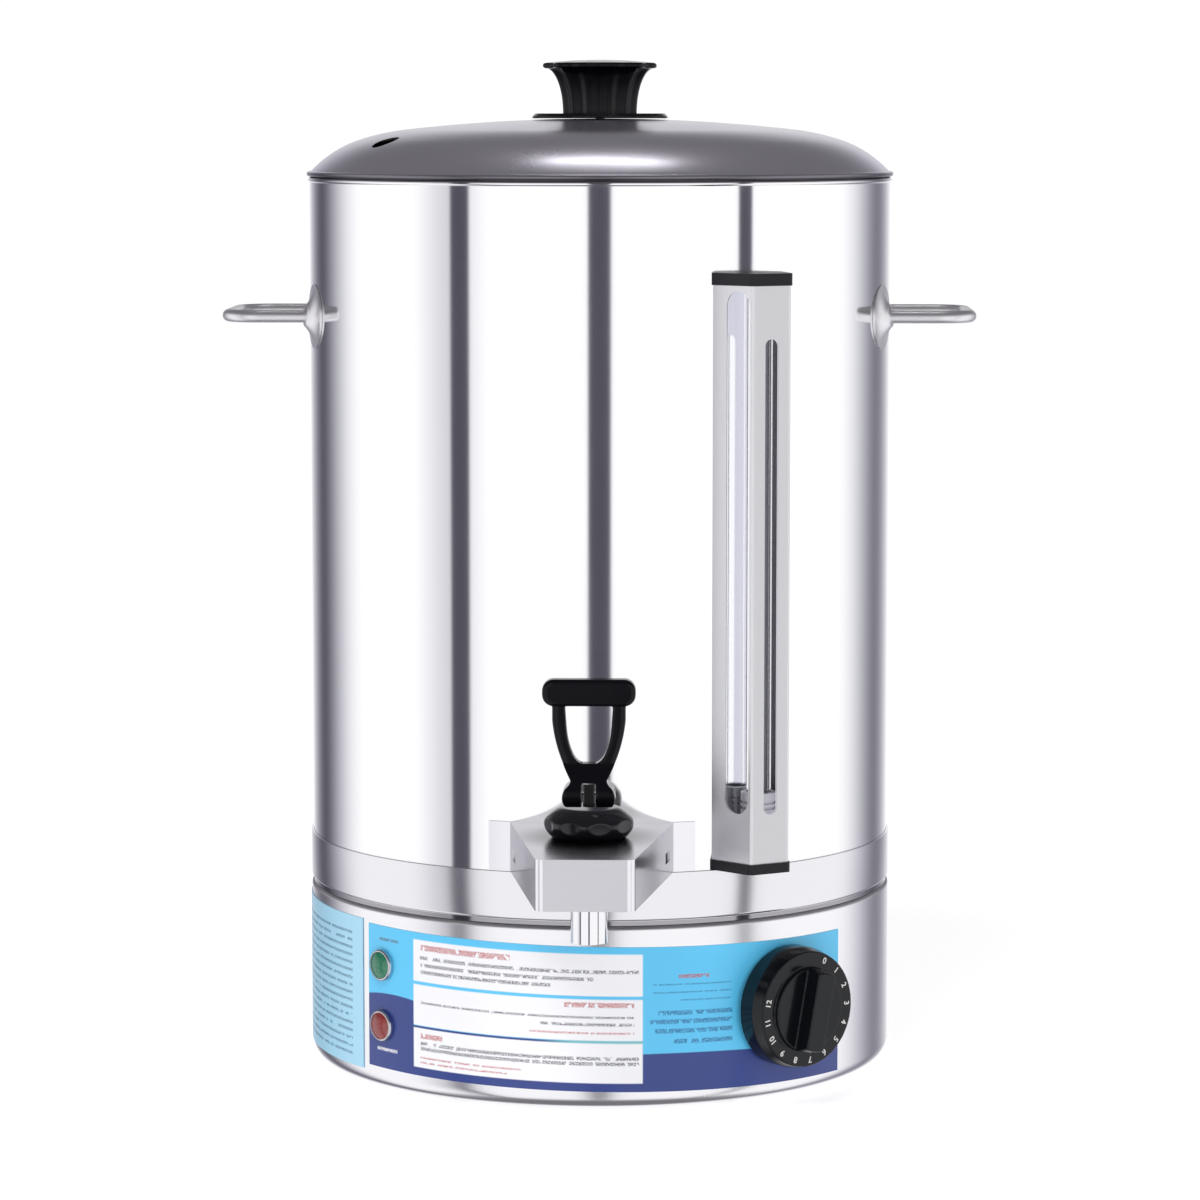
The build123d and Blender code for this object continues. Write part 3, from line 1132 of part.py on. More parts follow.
def lamp_nuts():
    outer = SKIRT_IN - LAMP_NUT_R ** 2 / (2 * SKIRT_IN) - SEAT
    nut = hexagon(LAMP_NUT_R, outer - LAMP_NUT_H, outer)
    nut -= spindle(LAMP_BODY_R + RUNNING, outer - LAMP_NUT_R, outer + OVERRUN)
    return [facing(LAMP_AZIMUTH, z) * nut for z in (LAMP_LOW_Z, LAMP_HIGH_Z)]


def wrapped_label(azimuth_from, azimuth_to, low, high):
    """Thin printed plate that follows the skirt between two azimuths."""
    inner = SKIRT_R + SEAT
    outline = [(inner, low), (inner + LABEL_T, low), (inner + LABEL_T, high), (inner, high)]
    face = Plane.XZ * make_face(Polyline(*outline, close=True))
    plate = revolve(face, Axis.Z, azimuth_to - azimuth_from)
    return Rot(0, 0, azimuth_from - 90) * plate


def control_label():
    label = wrapped_label(LABEL_START_AZIMUTH, LABEL_END_AZIMUTH, LABEL_Z - LABEL_H, LABEL_Z + LABEL_H)
    label = label & (Pos(0, 0, LABEL_Z) * Rot(0, LABEL_SLANT, 0) * Box(3 * SKIRT_R, 3 * SKIRT_R, LABEL_H))
    for height in (LAMP_LOW_Z, LAMP_HIGH_Z):
        label -= facing(LAMP_AZIMUTH, height) * spindle(LAMP_BODY_R + SEAT, TANK_IN, LABEL_R + OVERRUN)
    window = THERMOSTAT_SCREW_SPACING / 2 + 2 * THERMOSTAT_SCREW_R
    return label - facing(DIAL_AZIMUTH, DIAL_Z) * spindle(window, TANK_IN, LABEL_R + OVERRUN)


def side_label():
    return wrapped_label(
        SIDE_LABEL_START_AZIMUTH, SIDE_LABEL_END_AZIMUTH, SIDE_LABEL_Z0, SIDE_LABEL_Z1
    )


# ---------------------------------------------------------------- inlet
def power_inlet():
    """Rear appliance inlet: a flanged socket with a deep cavity for the connector."""
    face = SKIRT_R + SEAT
    body = Pos(0, -(face - INLET_D / 2), 0) * Box(INLET_W, INLET_D, INLET_H)
    flange = Plane.XZ * RectangleRounded(INLET_FLANGE_W, INLET_H + 2 * INLET_FLANGE_T, INLET_FLANGE_T)
    body += Pos(0, -face, 0) * extrude(flange, INLET_FLANGE_T)
    cavity_w, cavity_h = INLET_W - 2 * INLET_WALL, INLET_H - 2 * INLET_WALL
    body -= Pos(0, -(INLET_FRONT - INLET_CAVITY / 2), 0) * Box(cavity_w, INLET_CAVITY, cavity_h)
    for side in (-1, 1):
        hole = spindle(INLET_SCREW_R + SEAT, face - OVERRUN, INLET_FRONT + OVERRUN)
        body -= Pos(side * INLET_SCREW_SPACING / 2, 0, 0) * hole
    for x, z in inlet_pin_places():
        size = (INLET_PIN_W + SEAT, INLET_D, INLET_PIN_H + SEAT)
        body -= Pos(x, -(INLET_FRONT - INLET_CAVITY), z) * Box(*size)
    return facing(180, INLET_Z) * body


def inlet_pin_places():
    half = INLET_PIN_PITCH / 2
    return [(-half, -INLET_EARTH_DROP / 2), (half, -INLET_EARTH_DROP / 2), (0, INLET_EARTH_DROP / 2)]


def inlet_pins():
    tip = INLET_FRONT - INLET_CAVITY + INLET_PIN_L
    pin = Pos(0, -(tip + inlet_pin_tail()) / 2, 0) * Box(INLET_PIN_W, tip - inlet_pin_tail(), INLET_PIN_H)
    return [facing(180, INLET_Z) * Pos(x, 0, z) * pin for x, z in inlet_pin_places()]


def inlet_pin_tail():
    """Reach of the pins' inner ends."""
    return INLET_FRONT - INLET_D - BLADE_L


def inlet_screws():
    screw = spindle(INLET_SCREW_R, INLET_FRONT - INLET_SCREW_L, INLET_FRONT)
    screw += spindle(INLET_SCREW_HEAD_R, INLET_FRONT, INLET_FRONT + INLET_SCREW_HEAD_H)
    places = (-INLET_SCREW_SPACING / 2, INLET_SCREW_SPACING / 2)
    return [facing(180, INLET_Z) * Pos(x, 0, 0) * screw for x in places]


# ---------------------------------------------------------------- wiring
def wire(*points):
    """Insulated wire through the points, with rounded corners."""
    path = FilletPolyline(*points, radius=WIRE_BEND)
    return sweep(Plane(origin=path @ 0, z_dir=path % 0) * Circle(WIRE_R), path)


def inward(azimuth, reach, across, height):
    """A point at a reach and height on an azimuth's line, moved sideways from it."""
    return (facing(azimuth, height) * Pos(across, -reach, 0)).position


def supply_wires():
    """From the inlet's pins to the earth stud and to two poles of the terminal block."""
    places = [(x, INLET_Z + z) for x, z in inlet_pin_places()]
    neutral, live, earth = [inward(180, inlet_pin_tail(), x, z) for x, z in places]
    wires = [wire(earth, (0, STUD_Y, earth.Z), (0, STUD_Y, FLOOR_Z - STUD_L))]
    near = TERMINAL_X + TERMINAL_W / 2
    for start, pole, side in ((live, LIVE_POLE, 0), (neutral, NEUTRAL_POLE, 1)):
        x = near + WIRE_TAIL + side * WIRE_CLEAR
        y = terminal_y(pole)
        wires.append(wire(
            start,
            start + Vector(0, -WIRE_TAIL, 0),
            (x, y + TERMINAL_L * 2 / 3, WIRE_LEVEL - (side + 1) * WIRE_CLEAR),
            (x, y, TERMINAL_WAY_Z),
            (near - WIRE_GRIP, y, TERMINAL_WAY_Z),
        ))
    return wires


def heater_wires():
    """The live side through thermostat and cut-out to the element, and the neutral side back."""
    tab = THERMOSTAT_BACK - BLADE_L
    across = THERMOSTAT_W / 4
    far = TERMINAL_X - TERMINAL_W / 2
    leg_x = ELEMENT_LEG_SPACING / 2
    tail_z = FLOOR_Z - ELEMENT_TAIL
    cutout_x = CUTOUT_R / 2
    cutout_z = FLOOR_Z - CUTOUT_H - BLADE_L
    live_y = terminal_y(LIVE_POLE)
    neutral_y = terminal_y(NEUTRAL_POLE)
    to_thermostat = wire(
        (far + WIRE_GRIP, live_y, TERMINAL_WAY_Z),
        (far - WIRE_CLEAR, live_y, TERMINAL_WAY_Z),
        (far - WIRE_CLEAR, live_y, WIRE_LEVEL),
        (far + TERMINAL_W, -TERMINAL_L, WIRE_LEVEL),
        inward(DIAL_AZIMUTH, tab - WIRE_TAIL, -across, DIAL_Z),
        inward(DIAL_AZIMUTH, tab, -across, DIAL_Z),
    )
    to_cutout = wire(
        inward(DIAL_AZIMUTH, tab, across, DIAL_Z),
        inward(DIAL_AZIMUTH, tab - WIRE_TAIL, across, DIAL_Z),
        (cutout_x, 0, WIRE_LEVEL),
        (cutout_x, 0, cutout_z),
    )
    to_element = wire(
        (-cutout_x, 0, cutout_z),
        (-cutout_x, 0, WIRE_LEVEL + WIRE_CLEAR),
        (-leg_x, ELEMENT_LEG_Y, WIRE_LEVEL + WIRE_CLEAR),
        (-leg_x, ELEMENT_LEG_Y, tail_z),
    )
    from_element = wire(
        (far + WIRE_GRIP, neutral_y, TERMINAL_WAY_Z),
        (far - 2 * WIRE_CLEAR, neutral_y, TERMINAL_WAY_Z),
        (far - 2 * WIRE_CLEAR, neutral_y, WIRE_LOW),
        (leg_x, ELEMENT_LEG_Y, WIRE_LOW),
        (leg_x, ELEMENT_LEG_Y, tail_z),
    )
    return [to_thermostat, to_cutout, to_element, from_element]


def lamp_wires():
    """A link between the two lamps and a lead from the lower one to the terminal block."""
    back = LABEL_R + SEAT - LAMP_BODY_L
    near = TERMINAL_X + TERMINAL_W / 2
    lamp_y = terminal_y(LAMP_POLE)
    offset = LAMP_BODY_R / 2
    link = wire(
        inward(LAMP_AZIMUTH, back, offset, LAMP_HIGH_Z),
        inward(LAMP_AZIMUTH, back - WIRE_TAIL, offset, LAMP_HIGH_Z),
        inward(LAMP_AZIMUTH, back - WIRE_TAIL, offset, LAMP_LOW_Z),
        inward(LAMP_AZIMUTH, back, offset, LAMP_LOW_Z),
    )
    lead = wire(
        inward(LAMP_AZIMUTH, back, -offset, LAMP_LOW_Z),
        inward(LAMP_AZIMUTH, back - WIRE_TAIL, -offset, LAMP_LOW_Z),
        (near + WIRE_TAIL, lamp_y, WIRE_LEVEL),
        (near + WIRE_TAIL, lamp_y, TERMINAL_WAY_Z),
        (near - WIRE_GRIP, lamp_y, TERMINAL_WAY_Z),
    )
    return [link, lead]


# ---------------------------------------------------------------- every piece, one file each
PIECES = {
    "foot_ring": foot_ring(),
    "base_skirt": base_skirt(),
    "base_cover_plate": base_cover_plate(),
    "base_cover_screws": base_cover_screws(),
    "base_cover_nuts": base_cover_nuts(),
    "joint_band": joint_band(),
    "tank_barrel": tank_barrel(),
    "tank_floor": tank_floor(),
    "heating_element": heating_element(),
    "element_nuts": element_nuts(),
    "element_seals": element_seals(),
    "boil_dry_cutout": boil_dry_cutout(),
    "thermostat_bulb": thermostat_bulb(),
    "bulb_clip": bulb_clip(),
    "terminal_block": terminal_block(),
    "earth_stud": earth_stud(),
    "lid_dome": lid_dome(),
    "lid_locating_ring": lid_locating_ring(),
    "lid_knob": lid_knob(),
    "lid_knob_disc": lid_knob_disc(),
    "lid_knob_screw": lid_knob_screw(),
    "left_handle": handle(-1),
    "right_handle": handle(1),
    "left_handle_flanges": handle_flanges(-1),
    "right_handle_flanges": handle_flanges(1),
    "gauge_cover": gauge_cover(),
    "gauge_bottom_cap": gauge_cap(GAUGE_Z, GAUGE_CAP_H, GAUGE_COVER_Z),
    "gauge_top_cap": gauge_top_cap(),
    "gauge_tube": gauge_tube(),
    "gauge_fitting": gauge_fitting(),
    "gauge_gland_nut": gauge_gland_nut(),
    "gauge_washer": gauge_washer(),
    "gauge_inside_nut": gauge_inside_nut(),
    "tap_body": tap_body(),
    "tap_spout": tap_spout(),
    "tap_shank_nut": tap_shank_nut(),
    "tap_washers": tap_washers(),
    "tap_guard": tap_guard(),
    "tap_bonnet": tap_bonnet(),
    "tap_stem": tap_stem(),
    "tap_pivot_pin": tap_pivot_pin(),
    "tap_seat_cup": tap_seat_cup(),
    "tap_spring": tap_spring(),
    "tap_lever": tap_lever(),
    "thermostat_knob": thermostat_knob(),
    "thermostat_shaft": thermostat_shaft(),
    "thermostat_body": thermostat_body(),
    "thermostat_screws": thermostat_screws(),
    "green_lamp_holder": lamp_holder(LAMP_HIGH_Z),
    "green_lamp_lens": lamp_lens(LAMP_HIGH_Z),
    "red_lamp_holder": lamp_holder(LAMP_LOW_Z),
    "red_lamp_lens": lamp_lens(LAMP_LOW_Z),
    "lamp_nuts": lamp_nuts(),
    "control_label": control_label(),
    "side_label": side_label(),
    "power_inlet": power_inlet(),
    "inlet_pins": inlet_pins(),
    "inlet_screws": inlet_screws(),
    "internal_wires": supply_wires() + heater_wires() + lamp_wires(),
}

os.makedirs("parts", exist_ok=True)
for name, piece in PIECES.items():
    whole = Compound(piece) if isinstance(piece, list) else piece
    export_step(whole, f"parts/{name}.step")
print(len(PIECES), "pieces written")
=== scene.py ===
import json
import math

import bmesh
import bpy
from mathutils import Matrix, Vector


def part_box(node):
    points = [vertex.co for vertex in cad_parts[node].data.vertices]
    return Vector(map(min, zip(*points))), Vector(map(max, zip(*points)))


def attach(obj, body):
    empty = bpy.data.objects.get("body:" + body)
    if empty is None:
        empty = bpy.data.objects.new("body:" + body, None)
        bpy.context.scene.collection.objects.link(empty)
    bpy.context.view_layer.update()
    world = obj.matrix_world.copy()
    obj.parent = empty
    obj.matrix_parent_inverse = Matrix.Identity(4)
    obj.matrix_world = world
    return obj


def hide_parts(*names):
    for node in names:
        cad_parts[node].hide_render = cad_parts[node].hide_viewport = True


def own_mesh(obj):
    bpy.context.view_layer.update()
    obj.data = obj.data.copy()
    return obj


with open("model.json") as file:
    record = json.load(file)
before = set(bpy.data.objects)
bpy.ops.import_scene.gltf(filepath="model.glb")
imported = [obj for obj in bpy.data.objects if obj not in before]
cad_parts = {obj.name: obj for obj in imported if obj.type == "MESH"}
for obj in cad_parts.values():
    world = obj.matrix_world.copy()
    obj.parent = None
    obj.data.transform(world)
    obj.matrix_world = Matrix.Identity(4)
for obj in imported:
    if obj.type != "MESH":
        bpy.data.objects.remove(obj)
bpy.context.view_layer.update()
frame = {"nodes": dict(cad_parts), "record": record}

# Lengths are in metres. The urn stands on z = 0 with its axis on z, and its tap faces -Y.
# An azimuth is counted in degrees from the tap towards +X. A reach is a distance from the axis.
MM = 0.001

# -------------------------------------------------- sizes, the same as in the CAD source
SHEET = 1.0 * MM
SEAT = 0.1 * MM
TANK_R = 150.0 * MM
SKIRT_R = 151.0 * MM
SKIRT_Z = 3.0 * MM
SKIRT_CORNER = 8.0 * MM
SKIRT_SHOULDER = 2.6 * MM
SKIRT_FLANGE = 12.0 * MM
SHELF_Z = 95.2 * MM
SHELF_W = 9.0 * MM
BAND_Z = 97.4 * MM
BAND_TOP_Z = 121.5 * MM
BAND_ROLL = 1.6 * MM
RIM_R = 1.4 * MM
RIM_Z = 460.3 * MM
LID_R = 151.0 * MM
LID_RIM_Z = 462.0 * MM
# (radius, width) of the arcs across the lid, from its middle outwards
LID_ARCS = ((900.0 * MM, 100.0 * MM), (120.0 * MM, 24.0 * MM), (60.0 * MM, 27.0 * MM))
VENT_R = 6.8 * MM
VENT_REACH = 126.0 * MM
VENT_AZIMUTH = -57.0
KNOB_BORE_R = 2.6 * MM
KNOB_R = 29.2 * MM
KNOB_NECK_R = 18.6 * MM
KNOB_H = 27.5 * MM
KNOB_CAP_T = 2.8 * MM
KNOB_CROWN = 1.6 * MM
KNOB_LOBES = 12
KNOB_LOBE_DEPTH = 0.9 * MM
TAP_Y = -189.0 * MM
GUARD_TOP_Z = 146.2 * MM
GUARD_HALF_W = 23.1 * MM            # half the width of the guard's front
BONNET_R = 21.8 * MM
BONNET_FOOT_R = 17.6 * MM
BONNET_SHOULDER_R = 19.6 * MM
BONNET_TOP_R = 12.5 * MM
BONNET_BULGE = 1.1 * MM
BONNET_BULGE_Z = 7.4 * MM
BONNET_SKIRT_H = 11.0 * MM
BONNET_H = 14.8 * MM
BONNET_SCALLOPS = 9
BONNET_SCALLOP_R = 40.0 * MM
BONNET_SCALLOP_DEPTH = 1.1 * MM
BONNET_SCALLOP_Z = 5.8 * MM
BONNET_TURN_SHARE = 0.4             # of a scallop's pitch
BONNET_BORE_R = 3.1 * MM
GAUGE_AZIMUTH = 30.4
GAUGE_FRONT = 173.0 * MM            # reach of the gauge cover's front face
GAUGE_FACE_W = 21.5 * MM
GAUGE_BACK_W = 37.0 * MM
GAUGE_DEPTH = 23.0 * MM
GAUGE_SLOPE = (GAUGE_BACK_W - GAUGE_FACE_W) / 2 / GAUGE_DEPTH
DIAL_AZIMUTH = 39.4
DIAL_Z = 50.0 * MM
DIAL_FACE = 168.2 * MM              # reach of the dial's flat face
INLET_Z = 38.0 * MM
INLET_W = 27.2 * MM
INLET_H = 20.2 * MM
LABEL_Z = 48.7 * MM                 # middle of the control label
LABEL_SLANT = math.tan(math.radians(1.0))
LABEL_R = 151.5 * MM
CLOSE = 0.1 * MM                    # nearness that counts as on the same face

# -------------------------------------------------- camera
VIEW_AZIMUTH = 1.6
VIEW_DISTANCE = 2.250               # from the urn's axis
VIEW_HEIGHT = 0.490
VIEW_DROP = 6.34                    # degrees below the horizon
LENS_MM = 129.9
SENSOR_MM = 36.0


def make_camera():
    turn = math.radians(VIEW_AZIMUTH)
    camera = bpy.data.objects.new("camera", bpy.data.cameras.new("camera"))
    camera.location = (VIEW_DISTANCE * math.sin(turn), -VIEW_DISTANCE * math.cos(turn), VIEW_HEIGHT)
    camera.rotation_euler = (math.radians(90 - VIEW_DROP), 0, turn)
    camera.data.lens = LENS_MM
    camera.data.sensor_width = SENSOR_MM
    bpy.context.scene.collection.objects.link(camera)
    bpy.context.scene.camera = camera


# -------------------------------------------------- node helpers
class Tree:
    """Short names for adding nodes to one node tree. A colour is given as red, green and blue."""

    def __init__(self, tree):
        self.nodes = tree.nodes
        self.links = tree.links

    def add(self, kind, **settings):
        node = self.nodes.new(kind)
        for name, value in settings.items():
            setattr(node, name, value)
        return node

    def put(self, socket, value):
        if isinstance(value, bpy.types.NodeSocket):
            self.links.new(value, socket)
        elif socket.type == "RGBA":
            socket.default_value = (*value, 1.0)
        else:
            socket.default_value = value

    def math(self, operation, *values):
        node = self.add("ShaderNodeMath", operation=operation)
        for socket, value in zip(node.inputs, values):
            self.put(socket, value)
        return node.outputs[0]

    def plus(self, a, b):
        return self.math("ADD", a, b)

    def minus(self, a, b):
        return self.math("SUBTRACT", a, b)

    def times(self, a, b):
        return self.math("MULTIPLY", a, b)

    def largest(self, a, b):
        return self.math("MAXIMUM", a, b)

    def below(self, a, b):
        """1 where a is less than b."""
        return self.math("LESS_THAN", a, b)

    def above(self, a, b):
        """1 where a is more than b."""
        return self.math("GREATER_THAN", a, b)

    def apart(self, a, b):
        return self.math("ABSOLUTE", self.minus(a, b))

    def length(self, x, y):
        return self.math("SQRT", self.plus(self.math("POWER", x, 2.0), self.math("POWER", y, 2.0)))

    def turn(self, x, y):
        """The angle from the tap's side towards +X, in radians."""
        return self.math("ARCTAN2", x, self.times(y, -1.0))

    def step(self, value, low, high):
        """0 below low and 1 above high, with a smooth rise between them."""
        node = self.add("ShaderNodeMapRange", interpolation_type="SMOOTHSTEP")
        self.put(node.inputs["Value"], value)
        node.inputs["From Min"].default_value = low
        node.inputs["From Max"].default_value = high
        return node.outputs["Result"]

    def between(self, value, low, high, soft):
        """1 between low and high, with soft ends."""
        rise = self.step(value, low - soft, low + soft)
        fall = self.step(value, high - soft, high + soft)
        return self.minus(rise, fall)

    def spread(self, value, low, high):
        """A 0 to 1 value spread between low and high."""
        node = self.add("ShaderNodeMapRange")
        self.put(node.inputs["Value"], value)
        node.inputs["To Min"].default_value = low
        node.inputs["To Max"].default_value = high
        return node.outputs["Result"]

    def mix(self, share, first, second):
        node = self.add("ShaderNodeMix", data_type="RGBA")
        self.put(node.inputs["Factor"], share)
        self.put(node.inputs["A"], first)
        self.put(node.inputs["B"], second)
        return node.outputs["Result"]

    def separate(self, vector):
        node = self.add("ShaderNodeSeparateXYZ")
        self.put(node.inputs[0], vector)
        return list(node.outputs)

    def combine(self, x, y, z):
        node = self.add("ShaderNodeCombineXYZ")
        for socket, value in zip(node.inputs, (x, y, z)):
            self.put(socket, value)
        return node.outputs[0]

    def place(self):
        return self.add("ShaderNodeTexCoord").outputs["Object"]

    def facing(self):
        """The three parts of the way that the surface faces."""
        return self.separate(self.add("ShaderNodeTexCoord").outputs["Normal"])

    def noise(self, place, scale, detail=3.0, stretch=(1, 1, 1)):
        mapping = self.add("ShaderNodeMapping")
        mapping.inputs["Scale"].default_value = stretch
        self.put(mapping.inputs["Vector"], place)
        texture = self.add("ShaderNodeTexNoise")
        texture.inputs["Scale"].default_value = scale
        texture.inputs["Detail"].default_value = detail
        self.put(texture.inputs["Vector"], mapping.outputs[0])
        return texture.outputs["Fac"]

    def cloudy(self, place, scale, low, high):
        """A value that drifts between low and high over the surface."""
        return self.spread(self.noise(place, scale), low, high)

    def bump(self, shader, height, distance):
        node = self.add("ShaderNodeBump")
        node.inputs["Distance"].default_value = distance
        self.put(node.inputs["Height"], height)
        self.links.new(node.outputs[0], shader.inputs["Normal"])


# -------------------------------------------------- light
STUDIO_WALL = (1.06, 1.06, 1.07)
STUDIO_GREY = (0.080, 0.077, 0.100)
STUDIO_HAZE = (0.080, 0.065, 0.220)
STUDIO_CEILING = (0.17, 0.165, 0.175)
STUDIO_GROUND = (0.20, 0.195, 0.21)
CEILING_FROM = 10.0                 # degrees above the horizon where the ceiling starts to show
CEILING_TO = 28.0
GROUND_FROM = 48.0                  # degrees below the horizon where the ground starts to show
GROUND_TO = 70.0
BACKDROP = (1.0, 1.0, 1.0)
BACKDROP_STRENGTH = 1.02
# (middle, half width, softness) in degrees of azimuth: gaps between the studio's white walls
STUDIO_GAPS = (
    (-56.3 + VIEW_AZIMUTH, 4.1, 0.6),
    (-0.2 + VIEW_AZIMUTH, 4.4, 0.4),
    (58.4 + VIEW_AZIMUTH, 3.0, 0.4),
)
# (middle, half width, depth): where the white walls fade
STUDIO_FADES = (
    (-143.0 + VIEW_AZIMUTH, 37.0, 0.97),
    (141.5 + VIEW_AZIMUTH, 35.0, 0.86),
    (-61.0 + VIEW_AZIMUTH, 19.0, 0.36),
)
# (name, place, target, (width, height), power, whether the metal mirrors it)
AREA_LIGHTS = (
    ("key_light", (-0.7, -1.5, 2.3), (0.0, 0.0, 0.2), (1.2, 1.2), 26.0, False),
    ("fill_light", (0.9, -1.9, 0.9), (0.0, 0.0, 0.1), (1.0, 1.0), 7.0, False),
    ("lid_light", (0.03, 0.22, 1.97), (0.0, -0.14, 0.47), (0.60, 0.18), 1.5, True),
)


def sine(degrees):
    return math.sin(math.radians(degrees))


def wall_light(t, azimuth):
    """How bright the studio's walls are at each azimuth, from 0 to 1."""
    light = 1.0
    for middle, half, soft in STUDIO_GAPS:
        light = t.times(light, t.step(t.apart(azimuth, middle), half - soft, half + soft))
    for middle, half, depth in STUDIO_FADES:
        near = t.minus(1.0, t.step(t.apart(azimuth, middle), 0.0, half))
        light = t.times(light, t.minus(1.0, t.times(near, depth)))
    return light


def studio_world():
    """A studio that the metal mirrors, behind a plain pale backdrop."""
    world = bpy.data.worlds.new("studio")
    world.use_nodes = True
    bpy.context.scene.world = world
    t = Tree(world.node_tree)
    t.nodes.clear()
    x, y, z = t.separate(t.add("ShaderNodeTexCoord").outputs["Generated"])
    light = wall_light(t, t.times(t.turn(x, y), 180 / math.pi))
    walls = t.mix(light, t.mix(light, STUDIO_GREY, STUDIO_HAZE), STUDIO_WALL)
    ceiling = t.step(z, sine(CEILING_FROM), sine(CEILING_TO))
    ground = t.step(z, -sine(GROUND_TO), -sine(GROUND_FROM))
    studio = t.add("ShaderNodeBackground")
    t.put(studio.inputs["Color"], t.mix(ground, STUDIO_GROUND, t.mix(ceiling, walls, STUDIO_CEILING)))
    plain = t.add("ShaderNodeBackground")
    t.put(plain.inputs["Color"], BACKDROP)
    plain.inputs["Strength"].default_value = BACKDROP_STRENGTH
    choose = t.add("ShaderNodeMixShader")
    t.links.new(t.add("ShaderNodeLightPath").outputs["Is Camera Ray"], choose.inputs[0])
    t.links.new(studio.outputs[0], choose.inputs[1])
    t.links.new(plain.outputs[0], choose.inputs[2])
    t.links.new(choose.outputs[0], t.add("ShaderNodeOutputWorld").inputs["Surface"])


def make_lights():
    studio_world()
    for name, place, target, size, power, mirrored in AREA_LIGHTS:
        light = bpy.data.lights.new(name, "AREA")
        light.shape = "RECTANGLE"
        light.size, light.size_y = size
        light.energy = power
        lamp = bpy.data.objects.new(name, light)
        lamp.location = place
        lamp.rotation_euler = (Vector(target) - Vector(place)).to_track_quat("-Z", "Y").to_euler()
        lamp.visible_glossy = mirrored
        bpy.context.scene.collection.objects.link(lamp)


# -------------------------------------------------- floor
FLOOR_R = 0.75
FLOOR_SEGMENTS = 128
FLOOR_LOOK = {
    "Base Color": (0.80, 0.80, 0.80),
    "Roughness": 0.8,
    "Specular IOR Level": 0.2,
    "Emission Color": (1.0, 1.0, 1.0),
    "Emission Strength": 0.72,
}


def make_floor():
    mesh = bpy.data.meshes.new("floor")
    shape = bmesh.new()
    bmesh.ops.create_circle(shape, cap_ends=True, segments=FLOOR_SEGMENTS, radius=FLOOR_R)
    shape.to_mesh(mesh)
    shape.free()
    floor = bpy.data.objects.new("floor", mesh)
    bpy.context.scene.collection.objects.link(floor)
    floor.visible_glossy = False
    mesh.materials.append(new_material("floor_white", FLOOR_LOOK)[0])


# -------------------------------------------------- materials
CLOUD_SCALE = 18.0                  # of the faint clouds in a metal's gloss, per metre
FOLD_CLOUD_SCALE = 22.0
GRAIN_SCALE = 90.0
GRAIN_STRETCH = (1, 1, 30)
TANK_SHADE = (0.38, 0.37, 0.39)     # under the lid's rim and in the groove over the skirt
TANK_SHADE_FROM = 3.6 * MM          # below the lid's rim
TANK_SHADE_TO = 2.4 * MM
TANK_INSIDE = (0.62, 0.62, 0.64)
TANK_INSIDE_ROUGH = 0.35            # added to the roughness of the outside
TANK_INSIDE_METAL = 0.5
# painted shade on the skirt's shelf and shoulder, in the groove under the band
SHELF_SHADE = (0.55, 0.54, 0.56)
SHELF_ROUGH = 0.35                  # added to the roughness of the skirt's face
# painted shade on the lower part of the lid's rolled rim
LID_RIM_SHADE = (0.20, 0.19, 0.21)
LID_RIM_FROM = 0.2 * MM             # above the middle of the lid's rolled rim
LID_RIM_TO = 1.2 * MM
# painted shade: the steam hole's wall is near black so that the hole reads dark
HOLE_SHADE = (0.02, 0.02, 0.02)
# painted shade on the guard's side faces
GUARD_SIDE = (0.50, 0.49, 0.53)
GUARD_SIDE_FACING = (0.85, 0.97)    # how squarely sideways a face looks where the side begins
GUARD_SIDE_GLOSS = 0.15             # taken off the roughness of the front
# painted shade on the guard's top, deepening to GUARD_TOP_SHADE round the bonnet
GUARD_TOP = (0.62, 0.61, 0.65)
GUARD_TOP_FACING = (0.5, 0.9)
GUARD_TOP_GLOSS = 0.06
GUARD_TOP_SHADE = (0.12, 0.115, 0.125)
GUARD_SHADE_REACH = (0.7 * BONNET_R, 2.0 * BONNET_R)
# painted shade on the faces inside the guard
GUARD_INSIDE = (0.10, 0.095, 0.11)
GUARD_INWARD = 0.2                  # how far inwards, back and down a face of the inside looks
GUARD_BACKWARD = 0.3
GUARD_DOWNWARD = 0.5
GAUGE_FRONT_SHADE = 0.86            # of the cover's colour
GAUGE_FRONT_FACING = (0.90, 0.99)
GAUGE_STRETCH = (1, 1, 0.2)
# painted shade inside the gauge's cover, with a painted glow there
GAUGE_INSIDE = (0.16, 0.155, 0.17)
GAUGE_GLOW = (0.66, 0.65, 0.72)
GAUGE_GLOW_TO = 3.0 * MM            # behind the front
DARK = (0.0, 0.0, 0.0)
MOULD_SHADE = 0.8                   # of a moulding's colour, in its darker clouds
MOULD_CLOUD_SCALE = 55.0
MOULD_SKIN_SCALE = 700.0
MOULD_SKIN = 0.01 * MM
MOULD_SMOOTH = 0.002 * MM
SMEAR_SCALE = 60.0
LENS_CELL_SCALE = 900.0
LENS_CELL_DEPTH = 0.02 * MM
LENS_CELL_EDGE = 1.1                # of a cell, where its colour is brightest
LENS_ROUGH = (0.18, 0.32)
LENS_COAT = {"Coat Weight": 0.7, "Coat Roughness": 0.08}


def new_material(name, look):
    """A material with its tree and shader. The look holds what is the same all over."""
    material = bpy.data.materials.new(name)
    material.use_nodes = True
    t = Tree(material.node_tree)
    shader = t.nodes["Principled BSDF"]
    for socket, value in look.items():
        t.put(shader.inputs[socket], value)
    return material, t, shader


def metal(name, colour, rough_low, rough_high, grain=0.0, metallic=1.0):
    """Sheet or turned metal: faint cloudy roughness and, where asked, drawn grain."""
    material, t, shader = new_material(name, {"Metallic": metallic, "Base Color": colour})
    place = t.place()
    t.put(shader.inputs["Roughness"], t.cloudy(place, CLOUD_SCALE, rough_low, rough_high))
    if grain:
        t.bump(shader, t.noise(place, GRAIN_SCALE, 4.0, GRAIN_STRETCH), grain)
    return material


